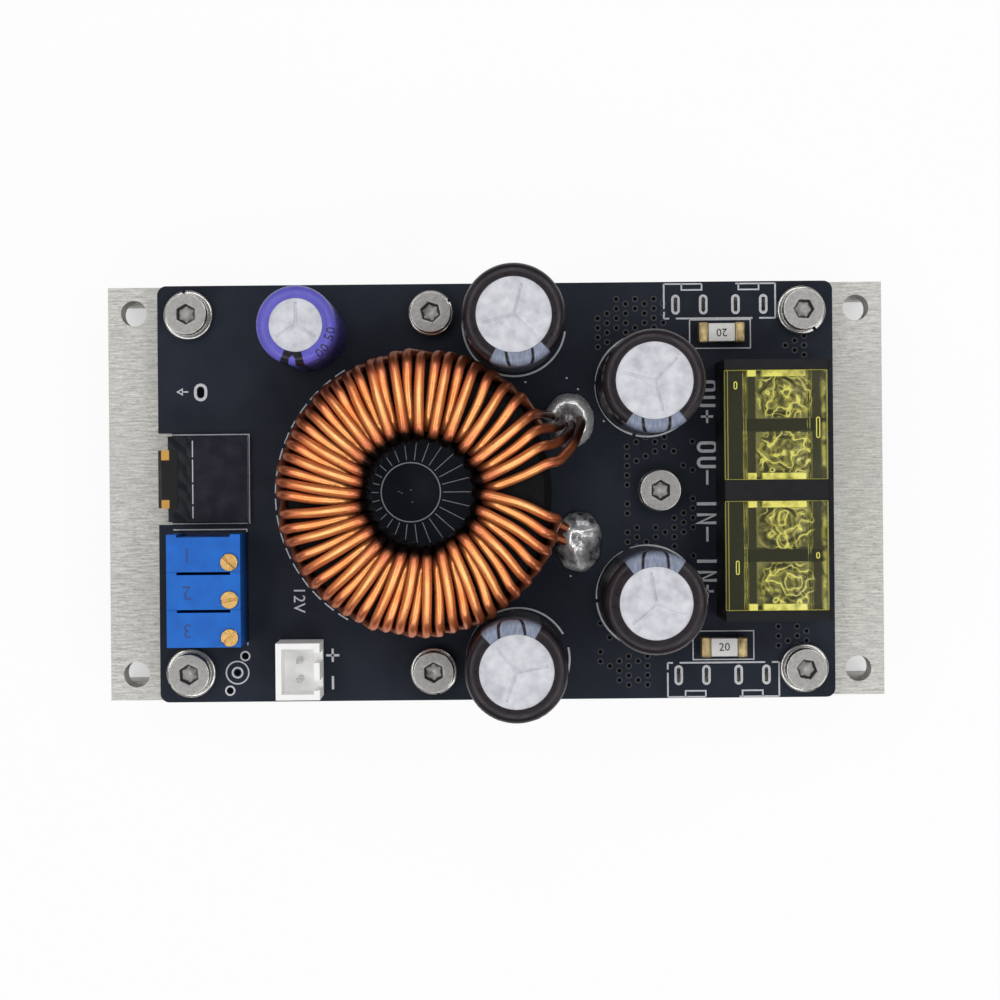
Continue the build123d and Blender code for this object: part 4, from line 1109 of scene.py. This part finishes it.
def make_pads():
    """Bare rims round the slotted pads and the spare holes, and, over the holes themselves, dark
    discs of painted shade.
    """
    rim_top, hole_top = BOARD_TOP + PAD, BOARD_TOP + HOLE
    slots = [(x, side * SLOT_Y) for side in (1, -1) for x in SLOT_X]
    rims = [ribbon(capsule(slot, 2.4, 0.88), 0.26, True, high=rim_top) for slot in slots]
    rims.append(ribbon(capsule(SPARE_SLOT, 2.0, 1.4), 0.38, True, high=rim_top))
    rims += [ribbon(ring_line(p, r, steps=28), w, True, high=rim_top) for p, r, w in RING_PADS]
    piece("pad_rims", rims, "silk_print")
    liners = [ribbon(capsule(slot, 2.02, 0.57), 0.08, True, BOARD_UNDER, hole_top)
              for slot in slots]
    piece("slot_liners", liners, "tinned_wire")
    outlines = [ring_line(p, r, steps=20) for p, r in RING_HOLES]
    holes = []
    for outline in (*outlines, capsule(SPARE_SLOT, 1.4, 0.85)):
        n = len(outline)
        rows = [np.column_stack([outline, np.full(n, z)]) for z in (BOARD_TOP, hole_top)]
        holes.append((np.concatenate(rows), shell_faces(2, n)))
    piece("pad_holes", holes, "hole_shade_and_print")


VIA_CORNER, VIA_PITCH = (16.2, 0.1), (1.25, 1.27)
# The range in X and in Y that each field of vias fills, and the share of its places
VIA_FIELDS = (
    (15.9, 22.8, 20.9, 25.7, 0.95), (17.0, 27.3, -9.0, 7.2, 0.66), (15.9, 22.2, -26.2, -22.0, 0.8),
    (37.2, 41.6, 17.8, 21.0, 0.8), (37.2, 41.6, -21.0, -18.0, 0.8),
    (13.6, 15.6, -24.0, -15.0, 0.5), (13.6, 15.6, 18.0, 24.0, 0.5),
)


def make_vias():
    """Small plated holes on a staggered lattice: a low ring with a dark dot of painted shade in it
    at each place.
    """
    rng = np.random.default_rng(11)
    columns, rows = np.meshgrid(np.arange(-2, 26), np.arange(-24, 24), indexing="ij")
    x = VIA_CORNER[0] + VIA_PITCH[0] * columns
    y = VIA_CORNER[1] + VIA_PITCH[1] * rows + VIA_PITCH[1] / 2 * (columns % 2)
    draw = rng.random(x.shape)
    keep = np.zeros(x.shape, bool)
    for x0, x1, y0, y1, share in VIA_FIELDS:
        keep |= (x > x0) & (x < x1) & (y > y0) & (y < y1) & (draw < share)
    keep &= np.hypot(x - 21.7, y) > 4.0  # clear of the middle screw
    keep &= (x < 26.6) | (x > 29.7)  # and of the signs
    spots = np.column_stack([x[keep], y[keep], np.zeros(keep.sum())])
    sides = 12
    for name, finish, profile in (
        ("via_rings", "via_ring", ((0.43, 0.0), (0.41, HOLE), (0.3, HOLE), (0.28, 0.0))),
        ("via_holes", "hole_shade_and_print", ((0.25, 0.0), (0.24, HOLE), (0.02, HOLE), (0.01, 0.0))),
    ):
        ring = lathe((0, 0), [(r, BOARD_TOP + h) for r, h in profile], turns(sides)).reshape(-1, 3)
        quads = grid_faces(len(profile), sides, True, True)
        faces = quads[None] + (np.arange(len(spots)) * len(ring))[:, None, None]
        piece(name, [(ring[None] + spots[:, None], faces.reshape(-1, 4))], finish)


# ---- moulded parts


TRIMMER_TOP = BOARD_TOP + 10.0
TRIMMER_ROWS = (-7.53, -12.4, -17.27)


def make_trimmer_numbers():
    """Plain numbers on the blue housings."""
    marks = [letters(str(number), (-40.0, y - 0.15), 2.6, 180, TRIMMER_TOP, TRIMMER_TOP + 0.02)
             for number, y in enumerate(TRIMMER_ROWS, 1)]
    piece("trimmer_numbers", marks, "dark_print")


def make_display_line():
    """A broken pale line down the display, where the picture area starts."""
    glass = BOARD_TOP + 1.65
    dashes = [ribbon([(-40.25, y), (-40.25, y + length)], 0.14, low=glass, high=glass + 0.01)
              for y, length in ((-3.2, 1.6), (-1.3, 2.6), (1.6, 3.0), (4.9, 2.2))]
    piece("display_line", dashes, "silk_print")


def make_fuses():
    """Fuse bodies and end caps with rounded edges, and a plain number on each."""
    marks = []
    top = BOARD_TOP + 2.6
    for number, (y, turn) in enumerate(((20.85, 180), (-20.85, 0)), 1):
        body = block((28.25, 31.75), (y - 1.2, y + 1.2), (BOARD_TOP + 0.15, top - 0.15), 0.1)
        piece(f"fuse_block_{number}", [body], "fuse_ceramic", 40, (f"fuse_body_{number}",))
        caps = [block(x, (y - 1.35, y + 1.35), (BOARD_TOP, top), 0.22)
                for x in ((26.95, 28.25), (31.75, 33.05))]
        piece(f"fuse_ends_{number}", caps, "fuse_caps", 40, (f"fuse_caps_{number}",))
        marks.append(letters("20", (30.0, y), 1.5, turn, top - 0.16, top - 0.13))
    piece("fuse_numbers", marks, "hole_shade_and_print")


COVER_LOW, COVER_TOP = BOARD_TOP + 10.9, BOARD_TOP + 11.9
COVER_HALF = 7.04
# Place, length and width of the raised moulding marks on the covers, whose rims carry painted
# highlights
GATE_MARKS = ((30.7, 13.45, 0.9, 0.34), (41.25, 8.0, 2.6, 0.4), (30.8, -9.9, 1.7, 0.36),
              (41.1, -8.4, 0.7, 0.36))


def make_covers():
    """The two clear covers: a plate with ribs, legs and tabs, all with rounded edges."""
    for side, middle in (("output", COVER_MIDDLE), ("input", -COVER_MIDDLE)):
        y0, y1 = middle - COVER_HALF, middle + COVER_HALF
        shapes = [block((29.3, 42.5), (y0, y1), (COVER_LOW, COVER_TOP), 0.13, 4)]
        for x in (31.76, 40.05):
            for span in ((y0, middle - 0.86), (middle + 0.86, y1)):
                shapes.append(block((x, x + 0.6), span, (COVER_LOW - 1.0, COVER_LOW), 0.12))
        for span in ((y0, y0 + 0.8), (y1 - 0.8, y1)):
            for x, down in (((34.1, 39.7), 2.2), ((32.25, 33.35), 1.6)):
                shapes.append(block(x, span, (COVER_LOW - down, COVER_LOW), 0.12))
        piece(f"cover_{side}", shapes, "clear_yellow", 40, (f"{side}_terminal_cover",))
    # the marks' outlines in opaque yellow: painted highlights on their rims
    marks = [ribbon(capsule((x, y), long, wide), 0.13, True, COVER_TOP, COVER_TOP + 0.02)
             for x, y, long, wide in GATE_MARKS]
    piece("cover_marks", marks, "painted_glint_yellow", 40)


# ---- the stage, in metres

FLOOR_HALF = 3.0
FLOOR_DROP = 0.00002
# A ring of lamps overhead, then four softboxes: place in X and Y, and watts
RING_LAMPS, RING_RADIUS, RING_HEIGHT, RING_SIZE, RING_WATTS = 8, 0.27, 0.56, 0.17, 0.34
SOFTBOXES = ((-0.5, 0.35, 0.3), (0.5, 0.35, 0.3), (-0.5, -0.35, 0.35), (0.5, -0.35, 0.8))
SOFTBOX_HEIGHT, SOFTBOX_SIZE = 0.4, 0.3
LAMP_AIM = (0, 0, 0.02)


def make_floor():
    """A floor that cameras and gloss see as white, with the module's shadow kept on it.

    It is darker right under the module, where it shows through the mounting holes.
    """
    made = Finish("floor", (0.9, 0.9, 0.9, 1.0), 0.9)
    made.mottle(8, (0.88, 0.88, 0.88, 1.0))
    bright = made.node("ShaderNodeEmission")
    bright.inputs["Color"].default_value = (1, 1, 1, 1)
    rays = made.node("ShaderNodeLightPath").outputs
    seen = made.most(*(rays[f"Is {kind} Ray"] for kind in ("Camera", "Glossy", "Transmission")))
    place = made.parts(made.place)
    under = made.both(made.slope(made.sums("ABSOLUTE", place["X"]), 54.9, 55.3, 1, 0),
                      made.slope(made.sums("ABSOLUTE", place["Y"]), 28.8, 29.2, 1, 0))
    share = made.both(seen, made.ramp(under, 0, 1, 0.92, 0.45))
    made.surface(share, made.shader.outputs[0], bright.outputs[0])
    mesh = bpy.data.meshes.new("floor")
    s = FLOOR_HALF
    mesh.from_pydata([(-s, -s, 0), (s, -s, 0), (s, s, 0), (-s, s, 0)], [], [(0, 1, 2, 3)])
    mesh.materials.append(made.material)
    floor = bpy.data.objects.new("floor", mesh)
    floor.location.z = -FLOOR_DROP
    bpy.context.scene.collection.objects.link(floor)


def lamp(name, place, size, watts):
    """A square lamp that faces the module."""
    data = bpy.data.lights.new(name, "AREA")
    data.shape = "RECTANGLE"
    data.size = data.size_y = size
    data.energy = watts
    made = bpy.data.objects.new(name, data)
    made.location = place
    back = Vector(np.array(place) - np.array(LAMP_AIM))
    made.rotation_euler = back.to_track_quat("Z", "Y").to_euler()
    bpy.context.scene.collection.objects.link(made)


def make_stage():
    """The floor, the lamps, a pale world and the camera."""
    make_floor()
    for number in range(RING_LAMPS):
        t = 2 * math.pi * number / RING_LAMPS
        place = (RING_RADIUS * math.cos(t), RING_RADIUS * math.sin(t), RING_HEIGHT)
        lamp(f"ring_{number}", place, RING_SIZE, RING_WATTS)
    for number, (x, y, watts) in enumerate(SOFTBOXES):
        lamp(f"softbox_{number}", (x, y, SOFTBOX_HEIGHT), SOFTBOX_SIZE, watts)

    world = bpy.data.worlds.new("studio")
    bpy.context.scene.world = world
    world.use_nodes = True
    back = world.node_tree.nodes["Background"]
    back.inputs["Color"].default_value = (1, 1, 1, 1)
    back.inputs["Strength"].default_value = 0.16

    data = bpy.data.cameras.new("camera")
    data.sensor_width = 36.0
    data.lens = 81.0
    data.shift_x, data.shift_y = 0.010, -0.035
    data.clip_start, data.clip_end = 0.01, 10.0
    camera = bpy.data.objects.new("camera", data)
    camera.location = (-0.00081, 0.00354, 0.3226)
    camera.rotation_euler = (0, 0, math.radians(-0.5))
    bpy.context.scene.collection.objects.link(camera)
    bpy.context.scene.camera = camera
    bpy.context.scene.view_settings.view_transform = "Standard"


make_coil()
make_solder()
make_screws()
make_capacitors()
make_print()
make_pads()
make_vias()
make_trimmer_numbers()
make_display_line()
make_fuses()
make_covers()
make_stage()
